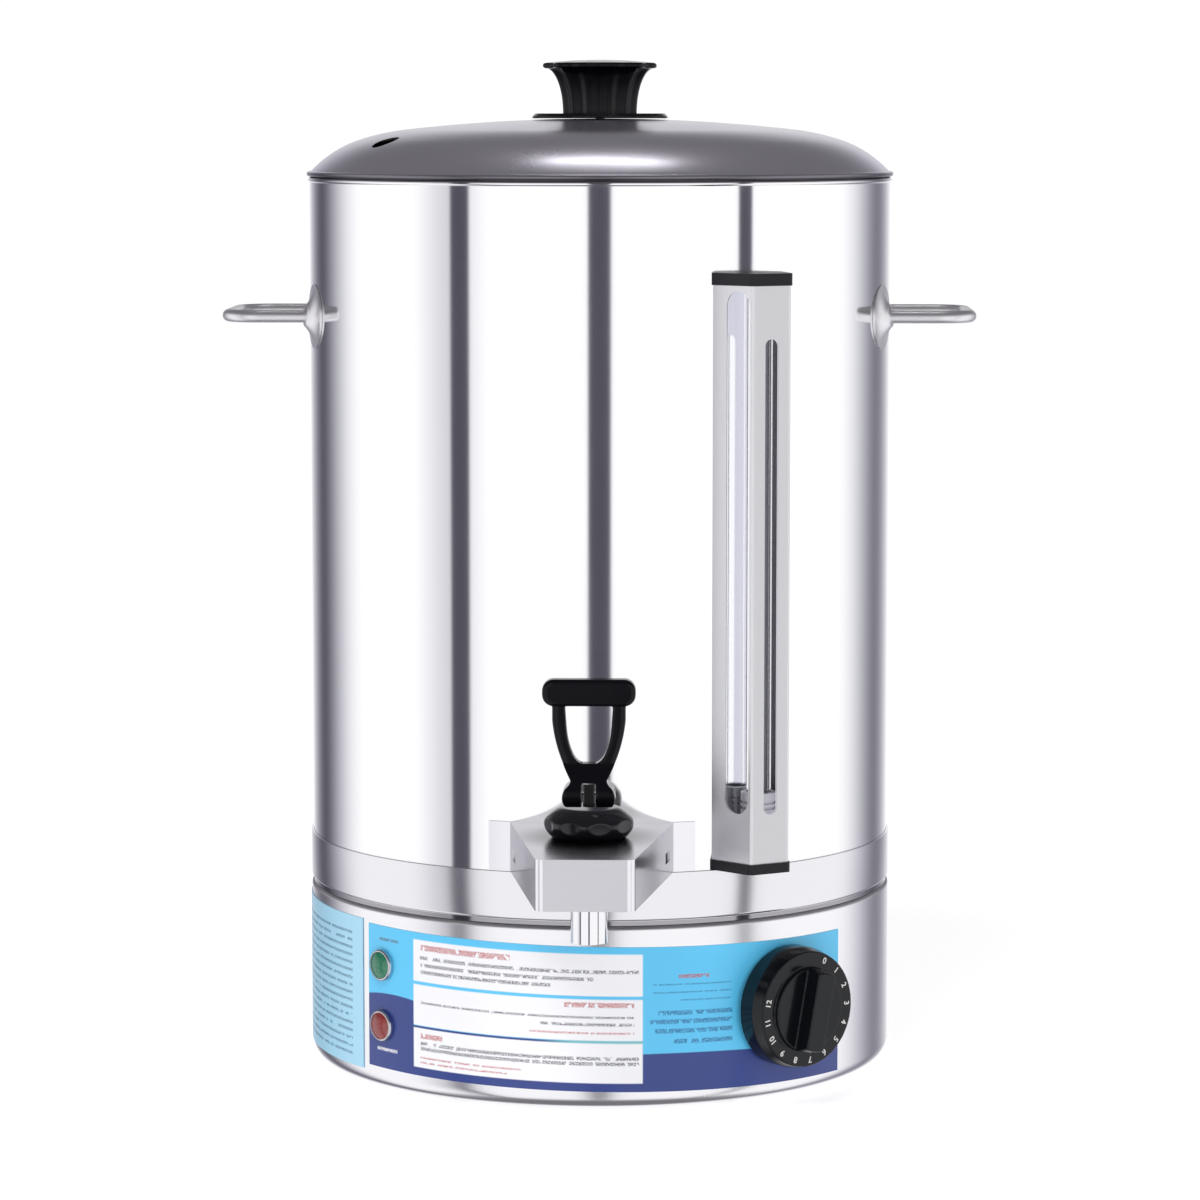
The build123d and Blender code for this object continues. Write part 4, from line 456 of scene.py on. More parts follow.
def tank_metal(name, colour, rough_low, rough_high):
    """The barrel's sheet: polished outside, shaded below the lid and in the groove, satin inside."""
    material, t, shader = new_material(name, {})
    place = t.place()
    x, y, z = t.separate(place)
    shade = t.step(z, LID_RIM_Z - TANK_SHADE_FROM, LID_RIM_Z - TANK_SHADE_TO)
    shade = t.largest(shade, t.below(z, BAND_Z + CLOSE))
    inside = t.below(t.length(x, y), TANK_R - SHEET / 2)
    steel = t.mix(shade, colour, TANK_SHADE)
    t.put(shader.inputs["Base Color"], t.mix(inside, steel, TANK_INSIDE))
    t.put(shader.inputs["Metallic"], t.minus(1.0, t.times(inside, 1 - TANK_INSIDE_METAL)))
    rough = t.cloudy(place, CLOUD_SCALE, rough_low, rough_high)
    t.put(shader.inputs["Roughness"], t.plus(rough, t.times(inside, TANK_INSIDE_ROUGH)))
    return material


def skirt_metal(name, colour, rough_low, rough_high):
    """The skirt's brushed sheet, duller on its shelf and shoulder, which carry painted shade."""
    material, t, shader = new_material(name, {"Metallic": 1.0})
    place = t.place()
    z = t.separate(place)[2]
    shelf = t.step(z, SHELF_Z - SKIRT_SHOULDER, SHELF_Z - SKIRT_SHOULDER / 2)
    t.put(shader.inputs["Base Color"], t.mix(shelf, colour, SHELF_SHADE))
    rough = t.cloudy(place, CLOUD_SCALE, rough_low, rough_high)
    t.put(shader.inputs["Roughness"], t.plus(rough, t.times(shelf, SHELF_ROUGH)))
    return material


def lid_metal(name, colour, rough_low, rough_high):
    """The lid's satin sheet, with painted shade on the wall of its steam hole and under its rolled
    rim.
    """
    material, t, shader = new_material(name, {"Metallic": 1.0})
    place = t.place()
    x, y, z = t.separate(place)
    turn = math.radians(VENT_AZIMUTH)
    away_x = t.minus(x, VENT_REACH * math.sin(turn))
    away_y = t.plus(y, VENT_REACH * math.cos(turn))
    hole = t.below(t.length(away_x, away_y), VENT_R + CLOSE)
    dome = t.step(z, LID_RIM_Z + LID_RIM_FROM, LID_RIM_Z + LID_RIM_TO)
    steel = t.mix(dome, LID_RIM_SHADE, colour)
    t.put(shader.inputs["Base Color"], t.mix(hole, steel, HOLE_SHADE))
    t.put(shader.inputs["Roughness"], t.cloudy(place, CLOUD_SCALE, rough_low, rough_high))
    return material


def folded_metal(name, colour, rough_low, rough_high):
    """The guard's folded sheet: satin front, glossier sides with painted shade, a top with painted
    shade that deepens round the bonnet, and painted shade inside.
    """
    material, t, shader = new_material(name, {"Metallic": 1.0})
    place = t.place()
    x, y = t.separate(place)[:2]
    across, back, up = t.facing()
    side = t.step(t.math("ABSOLUTE", across), *GUARD_SIDE_FACING)
    top = t.step(up, *GUARD_TOP_FACING)
    inward = t.below(t.times(across, x), -GUARD_INWARD * GUARD_HALF_W)
    inward = t.largest(inward, t.above(back, GUARD_BACKWARD))
    inward = t.largest(inward, t.below(up, -GUARD_DOWNWARD))
    # painted shade on the top, darkest round the bonnet
    past_bonnet_shade = t.step(t.length(x, t.minus(y, TAP_Y)), *GUARD_SHADE_REACH)
    steel = t.mix(top, colour, t.mix(past_bonnet_shade, GUARD_TOP_SHADE, GUARD_TOP))
    steel = t.mix(side, steel, GUARD_SIDE)
    t.put(shader.inputs["Base Color"], t.mix(inward, steel, GUARD_INSIDE))
    rough = t.cloudy(place, FOLD_CLOUD_SCALE, rough_low, rough_high)
    rough = t.minus(rough, t.times(side, GUARD_SIDE_GLOSS))
    rough = t.minus(rough, t.times(top, GUARD_TOP_GLOSS))
    t.put(shader.inputs["Roughness"], rough)
    return material


def gauge_metal(name, colour, rough_low, rough_high):
    """The gauge's folded cover: satin outside with painted shade on its front face, painted shade
    inside, and a painted glow inside behind its windows.
    """
    material, t, shader = new_material(name, {"Metallic": 1.0, "Emission Strength": 1.0})
    place = t.place()
    x, y = t.separate(place)[:2]
    turn = math.radians(GAUGE_AZIMUTH)
    across = t.plus(t.times(x, math.cos(turn)), t.times(y, math.sin(turn)))
    reach = t.minus(t.times(x, math.sin(turn)), t.times(y, math.cos(turn)))
    behind = t.minus(GAUGE_FRONT, reach)
    half = t.plus(GAUGE_FACE_W / 2, t.times(behind, GAUGE_SLOPE))
    inset = t.minus(half, t.math("ABSOLUTE", across))
    inside = t.times(t.above(behind, SHEET / 2), t.above(inset, SHEET / 2))
    face_x, face_y = t.facing()[:2]
    ahead = t.minus(t.times(face_x, math.sin(turn)), t.times(face_y, math.cos(turn)))
    front = tuple(GAUGE_FRONT_SHADE * part for part in colour)
    steel = t.mix(t.step(ahead, *GAUGE_FRONT_FACING), colour, front)
    t.put(shader.inputs["Base Color"], t.mix(inside, steel, GAUGE_INSIDE))
    clouds = t.noise(place, FOLD_CLOUD_SCALE, 2.0, GAUGE_STRETCH)
    t.put(shader.inputs["Roughness"], t.spread(clouds, rough_low, rough_high))
    # painted light: an emission standing in for the light that the windows let in, brightest just
    # behind the front
    glow = t.times(t.step(reach, GAUGE_FRONT - GAUGE_DEPTH, GAUGE_FRONT - GAUGE_GLOW_TO), inside)
    t.put(shader.inputs["Emission Color"], t.mix(glow, DARK, GAUGE_GLOW))
    return material


def moulded(name, colour, rough_low, rough_high, skin=MOULD_SKIN, gloss=0.5):
    """Moulded plastic or rubber with a fine skin and slightly uneven gloss."""
    material, t, shader = new_material(name, {"Specular IOR Level": gloss})
    place = t.place()
    clouds = t.noise(place, MOULD_CLOUD_SCALE)
    darker = tuple(MOULD_SHADE * part for part in colour)
    t.put(shader.inputs["Base Color"], t.mix(clouds, darker, colour))
    t.put(shader.inputs["Roughness"], t.spread(clouds, rough_low, rough_high))
    t.bump(shader, t.noise(place, MOULD_SKIN_SCALE, 2.0), skin)
    return material


def clear(name, colour, rough_low, rough_high, ior):
    """Glass with a trace of smears in its gloss."""
    look = {"Base Color": colour, "Transmission Weight": 1.0, "IOR": ior}
    material, t, shader = new_material(name, look)
    t.put(shader.inputs["Roughness"], t.cloudy(t.place(), SMEAR_SCALE, rough_low, rough_high))
    return material


def lens(name, deep, bright):
    """Signal lens: coloured plastic with small pyramids moulded into its back, and a painted sparkle
    that lightens its colour away from each pyramid's middle.
    """
    material, t, shader = new_material(name, LENS_COAT)
    cells = t.add("ShaderNodeTexVoronoi")
    cells.inputs["Scale"].default_value = LENS_CELL_SCALE
    t.put(cells.inputs["Vector"], t.place())
    # painted sparkle: the colour brightens from each cell's middle towards its edge
    sparkle = t.step(cells.outputs["Distance"], 0.0, LENS_CELL_EDGE)
    t.put(shader.inputs["Base Color"], t.mix(sparkle, deep, bright))
    t.put(shader.inputs["Roughness"], t.spread(sparkle, *LENS_ROUGH))
    t.bump(shader, cells.outputs["Distance"], LENS_CELL_DEPTH)
    return material


# -------------------------------------------------- printed labels
CYAN = (0.112, 0.585, 0.93)
NAVY = (0.030, 0.055, 0.245)
TEAL = (0.20, 0.55, 0.60)
PAPER = (0.92, 0.92, 0.95)
SIDE_PAPER = (0.41, 0.73, 0.92)
INK = (0.10, 0.10, 0.12)
RED_INK = (0.50, 0.09, 0.09)
BLUE_INK = (0.02, 0.13, 0.33)
SIDE_INK = (0.05, 0.17, 0.28)
BLUR = 0.35 * MM                    # softness of printed edges
PRINT_CLOUD_SCALE = 30.0
PRINT_ROUGH = (0.22, 0.30)
# the navy foot's top edge over the label's middle line: it is an arc beside the panels on the
# left, a line behind them, and an arc beside them on the right
FOOT_LEFT_TOP = 2.3 * MM
FOOT_LEFT_MIDDLE = -110.0 * MM
FOOT_LEFT_BEND = 5.0
FOOT_EDGE = -10.9 * MM
FOOT_RIGHT_TOP = -17.0 * MM
FOOT_RIGHT_MIDDLE = 50.0 * MM
FOOT_RIGHT_BEND = 0.45
PANEL_LEFT = -96.2 * MM             # along the skirt from the tap
PANEL_RIGHT = 25.4 * MM
# (low, high) of the three white panels, in millimetres from the label's middle line
PANELS = ((11.7, 32.7), (-10.6, 10.0), (-32.0, -12.0))
# (left, right, middle height, height) of ruled lines of marks, in millimetres, for each ink
INK_ROWS = (
    (-92.0, 23.4, 23.8, 1.7), (-91.6, 1.0, 20.1, 1.7), (-91.6, -20.0, 16.6, 1.7),
    (-91.7, 21.0, 1.0, 1.1), (-25.5, 21.2, -2.6, 1.4),
    (-91.8, 23.5, -19.7, 1.7), (-91.8, 23.5, -22.3, 1.7),
    (-120.1, -106.4, 29.6, 1.5),
)
RED_ROWS = (
    (-91.5, -41.0, 29.0, 2.9), (-13.5, 21.1, 7.2, 2.4), (-33.6, 21.2, -6.9, 0.9),
    (-91.8, -78.4, -15.9, 2.6), (-91.9, -35.3, -26.9, 0.9), (-91.9, -42.7, -29.4, 0.9),
    (43.6, 59.5, 21.4, 2.0),
)
BLUE_ROWS = (
    (30.7, 71.6, 17.4, 0.6), (30.7, 71.6, 13.4, 0.6), (44.4, 71.6, 9.5, 0.6),
    (33.1, 72.2, 3.2, 2.2), (29.1, 72.2, -1.2, 2.2),
    (31.5, 72.2, -5.9, 2.2), (41.2, 72.2, -11.2, 2.2),
)
WHITE_ROWS = ((-122.3, -107.3, -26.6, 1.6),)
PRINTS = ((INK_ROWS, INK), (RED_ROWS, RED_INK), (BLUE_ROWS, BLUE_INK), (WHITE_ROWS, PAPER))
TEAL_FROM = -30.0 * MM              # along the label, where the teal rises out of the navy
TEAL_TO = -5.0 * MM
TEAL_LOW = -13.0 * MM
TEAL_HIGH = -9.0 * MM
LETTER_SCALE = 1500.0
LETTER_EDGE = (0.36, 0.60)
LETTER_INK = (0.15, 0.95)           # share of ink between the marks and in them
# (scale, squeeze, low, high) of the gaps between groups of marks
CONTROL_GAPS = (380.0, 0.6, 0.31, 0.36)
SIDE_GAPS = (300.0, 0.5, 0.33, 0.38)
SIDE_LINE = (0.30, 0.66, 0.10)      # low, high and softness of a line, as shares of the pitch
SIDE_PITCH = 3.9 * MM               # from one line of marks to the next on the side label
SIDE_LOW = 16.0 * MM
SIDE_HIGH = 82.0 * MM
SIDE_LEFT = -232.0 * MM
SIDE_RIGHT = -144.0 * MM


def along_skirt(t, x, y):
    return t.times(t.turn(x, y), LABEL_R)


def small_marks(t, along, height, scale, squeeze, low, high):
    """Meaningless marks in groups, with gaps between the groups."""
    spot = t.combine(along, height, 0.0)
    letters = t.spread(t.step(t.noise(spot, LETTER_SCALE, 1.0), *LETTER_EDGE), *LETTER_INK)
    groups = t.step(t.noise(spot, scale, 0.0, (1.0, squeeze, 1.0)), low, high)
    return t.times(letters, groups)


def ruled_marks(t, along, height, rows, marks):
    """Where a set of rows carries its marks."""
    cover = 0.0
    for left, right, middle, tall in rows:
        low = (middle - tall / 2) * MM
        high = (middle + tall / 2) * MM
        here = t.between(along, left * MM, right * MM, BLUR)
        here = t.times(here, t.between(height, low, high, BLUR))
        cover = t.largest(cover, here)
    return t.times(cover, marks)


def foot_edge(t, along, behind_panels):
    """Height of the navy foot's top edge along the label."""
    left_away = t.math("POWER", t.minus(along, FOOT_LEFT_MIDDLE), 2.0)
    left_edge = t.minus(FOOT_LEFT_TOP, t.times(left_away, FOOT_LEFT_BEND))
    right_away = t.math("POWER", t.minus(along, FOOT_RIGHT_MIDDLE), 2.0)
    right_edge = t.minus(FOOT_RIGHT_TOP, t.times(right_away, FOOT_RIGHT_BEND))
    edge = t.times(t.below(along, PANEL_LEFT), left_edge)
    edge = t.plus(edge, t.times(t.above(along, PANEL_RIGHT), right_edge))
    return t.plus(edge, t.times(behind_panels, FOOT_EDGE))


def control_print():
    """Cyan plate over a navy foot, with three white panels of ruled marks."""
    material, t, shader = new_material("control_print", {})
    place = t.place()
    x, y, z = t.separate(place)
    along = along_skirt(t, x, y)
    height = t.plus(t.minus(z, LABEL_Z), t.times(x, LABEL_SLANT))
    beside_panels = t.plus(t.below(along, PANEL_LEFT), t.above(along, PANEL_RIGHT))
    behind_panels = t.minus(1.0, beside_panels)
    navy = t.step(t.minus(foot_edge(t, along, behind_panels), height), -BLUR, BLUR)
    colour = t.mix(navy, CYAN, NAVY)
    # the strip between the lower panels turns from navy to teal
    teal = t.times(t.step(along, TEAL_FROM, TEAL_TO), behind_panels)
    teal = t.times(teal, t.between(height, TEAL_LOW, TEAL_HIGH, BLUR))
    colour = t.mix(teal, colour, TEAL)
    for low, high in PANELS:
        inside = t.between(height, low * MM, high * MM, BLUR)
        inside = t.times(inside, t.between(along, PANEL_LEFT, PANEL_RIGHT, BLUR))
        colour = t.mix(inside, colour, PAPER)
    marks = small_marks(t, along, height, *CONTROL_GAPS)
    for rows, ink in PRINTS:
        colour = t.mix(ruled_marks(t, along, height, rows, marks), colour, ink)
    t.put(shader.inputs["Base Color"], colour)
    t.put(shader.inputs["Roughness"], t.cloudy(place, PRINT_CLOUD_SCALE, *PRINT_ROUGH))
    return material


def side_print():
    """Pale blue plate with ruled lines of marks."""
    material, t, shader = new_material("side_print", {})
    place = t.place()
    x, y, z = t.separate(place)
    along = along_skirt(t, x, y)
    rows = t.between(t.math("FRACT", t.times(z, 1 / SIDE_PITCH)), *SIDE_LINE)
    inside = t.between(z, SIDE_LOW, SIDE_HIGH, BLUR)
    inside = t.times(inside, t.between(along, SIDE_LEFT, SIDE_RIGHT, BLUR))
    marks = t.times(small_marks(t, along, z, *SIDE_GAPS), t.times(rows, inside))
    t.put(shader.inputs["Base Color"], t.mix(marks, SIDE_PAPER, SIDE_INK))
    t.put(shader.inputs["Roughness"], t.cloudy(place, PRINT_CLOUD_SCALE, *PRINT_ROUGH))
    return material


# Each row: maker, name, and what the maker asks for, mostly a colour and a range of roughness.
MATERIAL_LIST = (
    (tank_metal, "tank_steel", (0.955, 0.955, 0.965), 0.065, 0.085),
    (metal, "band_steel", (0.82, 0.81, 0.835), 0.13, 0.17),
    (skirt_metal, "skirt_steel", (0.90, 0.89, 0.915), 0.18, 0.23),
    (lid_metal, "lid_steel", (0.80, 0.78, 0.86), 0.25, 0.31),
    (folded_metal, "guard_steel", (0.92, 0.91, 0.95), 0.27, 0.33),
    (gauge_metal, "gauge_steel", (0.90, 0.90, 0.92), 0.36, 0.44),
    (metal, "handle_steel", (0.86, 0.85, 0.87), 0.34, 0.42),
    (metal, "base_steel", (0.60, 0.60, 0.61), 0.3, 0.4, 0.02 * MM),
    (metal, "plated_brass", (0.88, 0.88, 0.90), 0.04, 0.08),
    (metal, "brass", (0.75, 0.58, 0.30), 0.2, 0.3),
    (metal, "screw_steel", (0.62, 0.62, 0.63), 0.22, 0.32),
    (metal, "spring_steel", (0.50, 0.50, 0.52), 0.25, 0.35),
    (metal, "element_steel", (0.24, 0.24, 0.26), 0.35, 0.5),
    (metal, "lamp_chrome", (0.60, 0.60, 0.64), 0.10, 0.16),
    (metal, "gland_metal", (0.50, 0.50, 0.54), 0.35, 0.45, 0.0, 0.5),
    (moulded, "black_plastic", (0.003, 0.003, 0.005), 0.14, 0.20, MOULD_SMOOTH, 0.2),
    (moulded, "bonnet_plastic", (0.006, 0.006, 0.009), 0.12, 0.18, MOULD_SMOOTH),
    (moulded, "cap_plastic", (0.010, 0.009, 0.013), 0.3, 0.4, MOULD_SKIN, 0.3),
    (moulded, "dial_plastic", (0.004, 0.005, 0.007), 0.14, 0.20, MOULD_SMOOTH, 0.32),
    (moulded, "silicone", (0.72, 0.72, 0.70), 0.4, 0.5),
    (moulded, "foot_rubber", (0.02, 0.02, 0.02), 0.6, 0.7),
    (moulded, "dial_print", (0.80, 0.80, 0.78), 0.4, 0.5),
    (moulded, "ceramic", (0.80, 0.79, 0.74), 0.3, 0.4),
    (moulded, "control_plastic", (0.03, 0.03, 0.033), 0.4, 0.5),
    (moulded, "wire_cover", (0.55, 0.54, 0.50), 0.4, 0.5),
    (clear, "gauge_glass", (0.97, 0.98, 0.99), 0.12, 0.24, 1.06),
    (lens, "green_lens", (0.008, 0.13, 0.065), (0.02, 0.21, 0.12)),
    (lens, "red_lens", (0.20, 0.022, 0.02), (0.30, 0.045, 0.04)),
)


def make_materials():
    made = {name: maker(name, *wanted) for maker, name, *wanted in MATERIAL_LIST}
    made["control_print"] = control_print()
    made["side_print"] = side_print()
    return made


def dress_nodes():
    """Gives each CAD node the material of its slot, or its own where one is made for it."""
    own = {
        "gauge_cover": "gauge_steel",
        "gauge_gland_nut": "gland_metal",
        "gauge_fitting": "gland_metal",
    }
    for item in frame["record"]["subparts"]:
        node = frame["nodes"].get(item["node"])
        if node is None:
            continue
        for slot in node.material_slots:
            slot.material = MATERIALS[own.get(item["node"], item["material_slot"])]


# -------------------------------------------------- mesh helpers
RING_SEGMENTS = 384
FOLD_ANGLE = 28.0                   # an edge sharper than this stays a crisp line
MOULD_ANGLE = 50.0


def finish_piece(shape, name, body, material, node=None, sharp=FOLD_ANGLE):
    """A smooth-shaded object from a bmesh. It rides on a body and may stand for a CAD node."""
    mesh = bpy.data.meshes.new(name)
    bmesh.ops.recalc_face_normals(shape, faces=shape.faces)
    shape.to_mesh(mesh)
    shape.free()
    mesh.shade_smooth()
    mesh.set_sharp_from_angle(angle=math.radians(sharp))
    mesh.materials.append(MATERIALS[material])
    piece = bpy.data.objects.new(name, mesh)
    bpy.context.scene.collection.objects.link(piece)
    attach(piece, body)
    if node:
        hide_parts(node)
    return piece


def arc(centre, radius, start, end, steps):
    """Points (reach, height) round a centre, between two angles in degrees above outward."""
    points = []
    for i in range(steps + 1):
        turn = math.radians(start + (end - start) * i / steps)
        points.append((centre[0] + radius * math.cos(turn), centre[1] + radius * math.sin(turn)))
    return points


def turned(outline):
    """A closed outline of (reach, height) points turned about the urn's axis."""
    shape = bmesh.new()
    rings = []
    for i in range(RING_SEGMENTS):
        turn = 2 * math.pi * i / RING_SEGMENTS
        ring = [(reach * math.cos(turn), reach * math.sin(turn), z) for reach, z in outline]
        rings.append([shape.verts.new(point) for point in ring])
    for i in range(RING_SEGMENTS):
        near = rings[i]
        far = rings[(i + 1) % RING_SEGMENTS]
        for j in range(len(outline)):
            k = (j + 1) % len(outline)
            shape.faces.new((near[j], far[j], far[k], near[k]))
    return shape


def woven(columns):
    """A closed shape from columns of points round an axis, each from the bottom to the top."""
    shape = bmesh.new()
    rows = [[shape.verts.new(point) for point in column] for column in columns]
    count = len(rows)
    for i in range(count):
        near = rows[i]
        far = rows[(i + 1) % count]
        for j in range(len(near) - 1):
            shape.faces.new((near[j], far[j], far[j + 1], near[j + 1]))
    shape.faces.new([row[0] for row in reversed(rows)])
    shape.faces.new([row[-1] for row in rows])
    return shape


def freeze(piece):
    """Applies a piece's modifiers to its mesh."""
    graph = bpy.context.evaluated_depsgraph_get()
    mesh = bpy.data.meshes.new_from_object(piece.evaluated_get(graph))
    piece.modifiers.clear()
    piece.data = mesh


def cut_away(piece, shape, place):
    """Takes a bmesh shape out of a piece."""
    mesh = bpy.data.meshes.new("cutter")
    shape.to_mesh(mesh)
    shape.free()
    cutter = bpy.data.objects.new("cutter", mesh)
    cutter.location = place
    bpy.context.scene.collection.objects.link(cutter)
    bore = piece.modifiers.new("opening", "BOOLEAN")
    bore.operation = "DIFFERENCE"
    bore.object = cutter
    bore.solver = "EXACT"
    freeze(piece)
    bpy.data.objects.remove(cutter)
    bpy.data.meshes.remove(mesh)
    piece.data.set_sharp_from_angle(angle=math.radians(FOLD_ANGLE))


def copy_of(node, name):
    """A piece with a CAD node's own mesh."""
    piece = bpy.data.objects.new(name, frame["nodes"][node].data.copy())
    bpy.context.scene.collection.objects.link(piece)
    return piece


# -------------------------------------------------- shells
CUT_DEPTH = 40.0 * MM
VENT_SEGMENTS = 48
SKIRT_CORNER_STEPS = 16
SKIRT_SHOULDER_STEPS = 10
BAND_EDGE_STEPS = 5
BAND_ROLL_STEPS = 12
BARREL_RIM_STEPS = 28
LID_RIM_STEPS = 30
LID_ARC_STEPS = 24


def skirt_half(offset):
    """Outline of the skirt's face from the flange's inner edge round to the shelf's."""
    radius = SKIRT_R - offset
    corner = SKIRT_CORNER - offset
    shoulder = SKIRT_SHOULDER - offset
    low = SKIRT_Z + offset
    high = SHELF_Z - offset
    points = [(SKIRT_R - SKIRT_CORNER - SKIRT_FLANGE, low)]
    points += arc((radius - corner, low + corner), corner, -90, 0, SKIRT_CORNER_STEPS)
    bend = (radius - shoulder, high - shoulder)
    points += arc(bend, shoulder, 0, 90, SKIRT_SHOULDER_STEPS)
    points.append((SKIRT_R - SHELF_W, high))
    return points


def make_skirt():
    """The skirt's shell, open at the back for the power inlet."""
    outline = skirt_half(0.0) + skirt_half(SHEET)[::-1]
    skirt = finish_piece(turned(outline), "skirt_shell", "urn", "skirt_steel", "base_skirt")
    window = bmesh.new()
    bmesh.ops.create_cube(window, size=1.0)
    bmesh.ops.scale(window, vec=(INLET_W, CUT_DEPTH, INLET_H), verts=window.verts)
    cut_away(skirt, window, (0.0, SKIRT_R, INLET_Z))


def make_band():
    """The collar over the seam, rolled in at its foot."""
    radius = TANK_R + SEAT + SHEET
    edge = SHEET / 3
    outline = arc((radius - edge, BAND_TOP_Z - edge), edge, 90, 0, BAND_EDGE_STEPS)
    roll = (radius - BAND_ROLL, BAND_Z + BAND_ROLL)
    outline += arc(roll, BAND_ROLL, 0, -90, BAND_ROLL_STEPS)
    outline += [(radius - SHEET, BAND_Z), (radius - SHEET, BAND_TOP_Z)]
    band = finish_piece(turned(outline), "joint_collar", "urn", "tank_steel", "joint_band")
    band.data.materials[0] = MATERIALS["band_steel"]


def make_barrel():
    """The tank's wall with its rolled rim."""
    rim = (TANK_R - SHEET / 2, RIM_Z - RIM_R)
    meet = math.degrees(math.asin(math.sqrt(RIM_R ** 2 - (SHEET / 2) ** 2) / RIM_R))
    outline = [(TANK_R - SHEET, SHELF_Z), (TANK_R, SHELF_Z)]
    outline += arc(rim, RIM_R, -meet, 180 + meet, BARREL_RIM_STEPS)
    finish_piece(turned(outline), "tank_wall", "urn", "tank_steel", "tank_barrel")


def lid_points(offset):
    """Crown, shoulder and knuckle of the lid, offset inwards, from the screw hole outwards."""
    turns = [0.0]
    rise = 0.0
    for radius, width in LID_ARCS:
        turns.append(math.asin(math.sin(turns[-1]) + width / radius))
        rise += radius * (math.cos(turns[-2]) - math.cos(turns[-1]))
    top = LID_RIM_Z - RIM_R / 2 + rise
    centre = Vector((0.0, top - LID_ARCS[0][0]))
    points = []
    for i, (radius, width) in enumerate(LID_ARCS):
        for step in range(LID_ARC_STEPS + 1):
            turn = turns[i] + (turns[i + 1] - turns[i]) * step / LID_ARC_STEPS
            reach = centre.x + (radius - offset) * math.sin(turn)
            if reach > KNOB_BORE_R:
                points.append((reach, centre.y + (radius - offset) * math.cos(turn)))
        if i + 1 < len(LID_ARCS):
            back = radius - LID_ARCS[i + 1][0]
            centre += Vector((math.sin(turns[i + 1]), math.cos(turns[i + 1]))) * back
    return points


def make_lid():
    """The domed lid with its rolled rim, bored for the knob's screw and the steam hole."""
    rim = (LID_R - SHEET, LID_RIM_Z)
    outer = [p for p in lid_points(0.0) if math.dist(p, rim) > RIM_R]
    inner = [p for p in lid_points(SHEET) if math.dist(p, rim) > RIM_R]
    start = math.degrees(math.atan2(outer[-1][1] - rim[1], outer[-1][0] - rim[0]))
    end = math.degrees(math.atan2(inner[-1][1] - rim[1], inner[-1][0] - rim[0])) - 360
    outline = outer + arc(rim, RIM_R, start, end, LID_RIM_STEPS) + inner[::-1]
    lid = finish_piece(turned(outline), "lid_shell", "lid", "lid_steel", "lid_dome")
    drill = bmesh.new()
    bmesh.ops.create_cone(
        drill, cap_ends=True, segments=VENT_SEGMENTS, radius1=VENT_R, radius2=VENT_R, depth=CUT_DEPTH
    )
    turn = math.radians(VENT_AZIMUTH)
    spot = (VENT_REACH * math.sin(turn), -VENT_REACH * math.cos(turn), LID_RIM_Z + CUT_DEPTH / 3)
    cut_away(lid, drill, spot)


# -------------------------------------------------- knob and bonnet
KNOB_FLARE_STEPS = 24
KNOB_EDGE_STEPS = 14
KNOB_CROWN_STEPS = 12
KNOB_LOBE_COLUMNS = 18
KNOB_TIP = 0.04                     # of the cap's reach, where the crown's last ring lies
BONNET_SIDE_STEPS = 16
BONNET_EDGE_STEPS = 8
BONNET_CROWN_STEPS = 12
BONNET_SCALLOP_COLUMNS = 32
BONNET_SCALLOP_EASE = 0.25 * MM


def knob_profile():
    """Points (reach, height) of the knob from its foot, up the trumpet and over the cap."""
    flare = KNOB_H - KNOB_CAP_T - KNOB_CROWN
    edge = KNOB_CAP_T / 2
    points = []
    for i in range(KNOB_FLARE_STEPS + 1):
        turn = math.radians(90 * i / KNOB_FLARE_STEPS)
        reach = KNOB_NECK_R + (KNOB_R - edge - KNOB_NECK_R) * (1 - math.cos(turn))
        points.append((reach, flare * math.sin(turn)))
    for i in range(1, KNOB_EDGE_STEPS + 1):
        turn = math.radians(180 * i / KNOB_EDGE_STEPS)
        reach = KNOB_R - edge + edge * math.sin(turn)
        points.append((reach, flare + edge * (1 - math.cos(turn))))
    for i in range(1, KNOB_CROWN_STEPS + 1):
        share = 1 - i / KNOB_CROWN_STEPS
        reach = (KNOB_R - edge) * (KNOB_TIP + (1 - KNOB_TIP) * share)
        points.append((reach, KNOB_H - KNOB_CROWN * share ** 2))
    return points


def make_knob():
    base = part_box("lid_knob")[0][2]
    columns = []
    count = KNOB_LOBES * KNOB_LOBE_COLUMNS
    for i in range(count):
        turn = 2 * math.pi * i / count
        lobe = KNOB_LOBE_DEPTH * math.cos(KNOB_LOBES * turn)
        column = []
        for reach, height in knob_profile():
            bulge = reach - lobe * min(1.0, reach / KNOB_NECK_R)
            column.append((bulge * math.cos(turn), bulge * math.sin(turn), base + height))
        columns.append(column)
    finish_piece(woven(columns), "lid_knob_skin", "lid", "black_plastic", "lid_knob", MOULD_ANGLE)


def soft_least(a, b, width):
    """The smaller of two lengths, with a rounded change from one to the other."""
    share = max(0.0, min(1.0, 0.5 + 0.5 * (b - a) / width))
    return b + (a - b) * share - width * share * (1 - share)


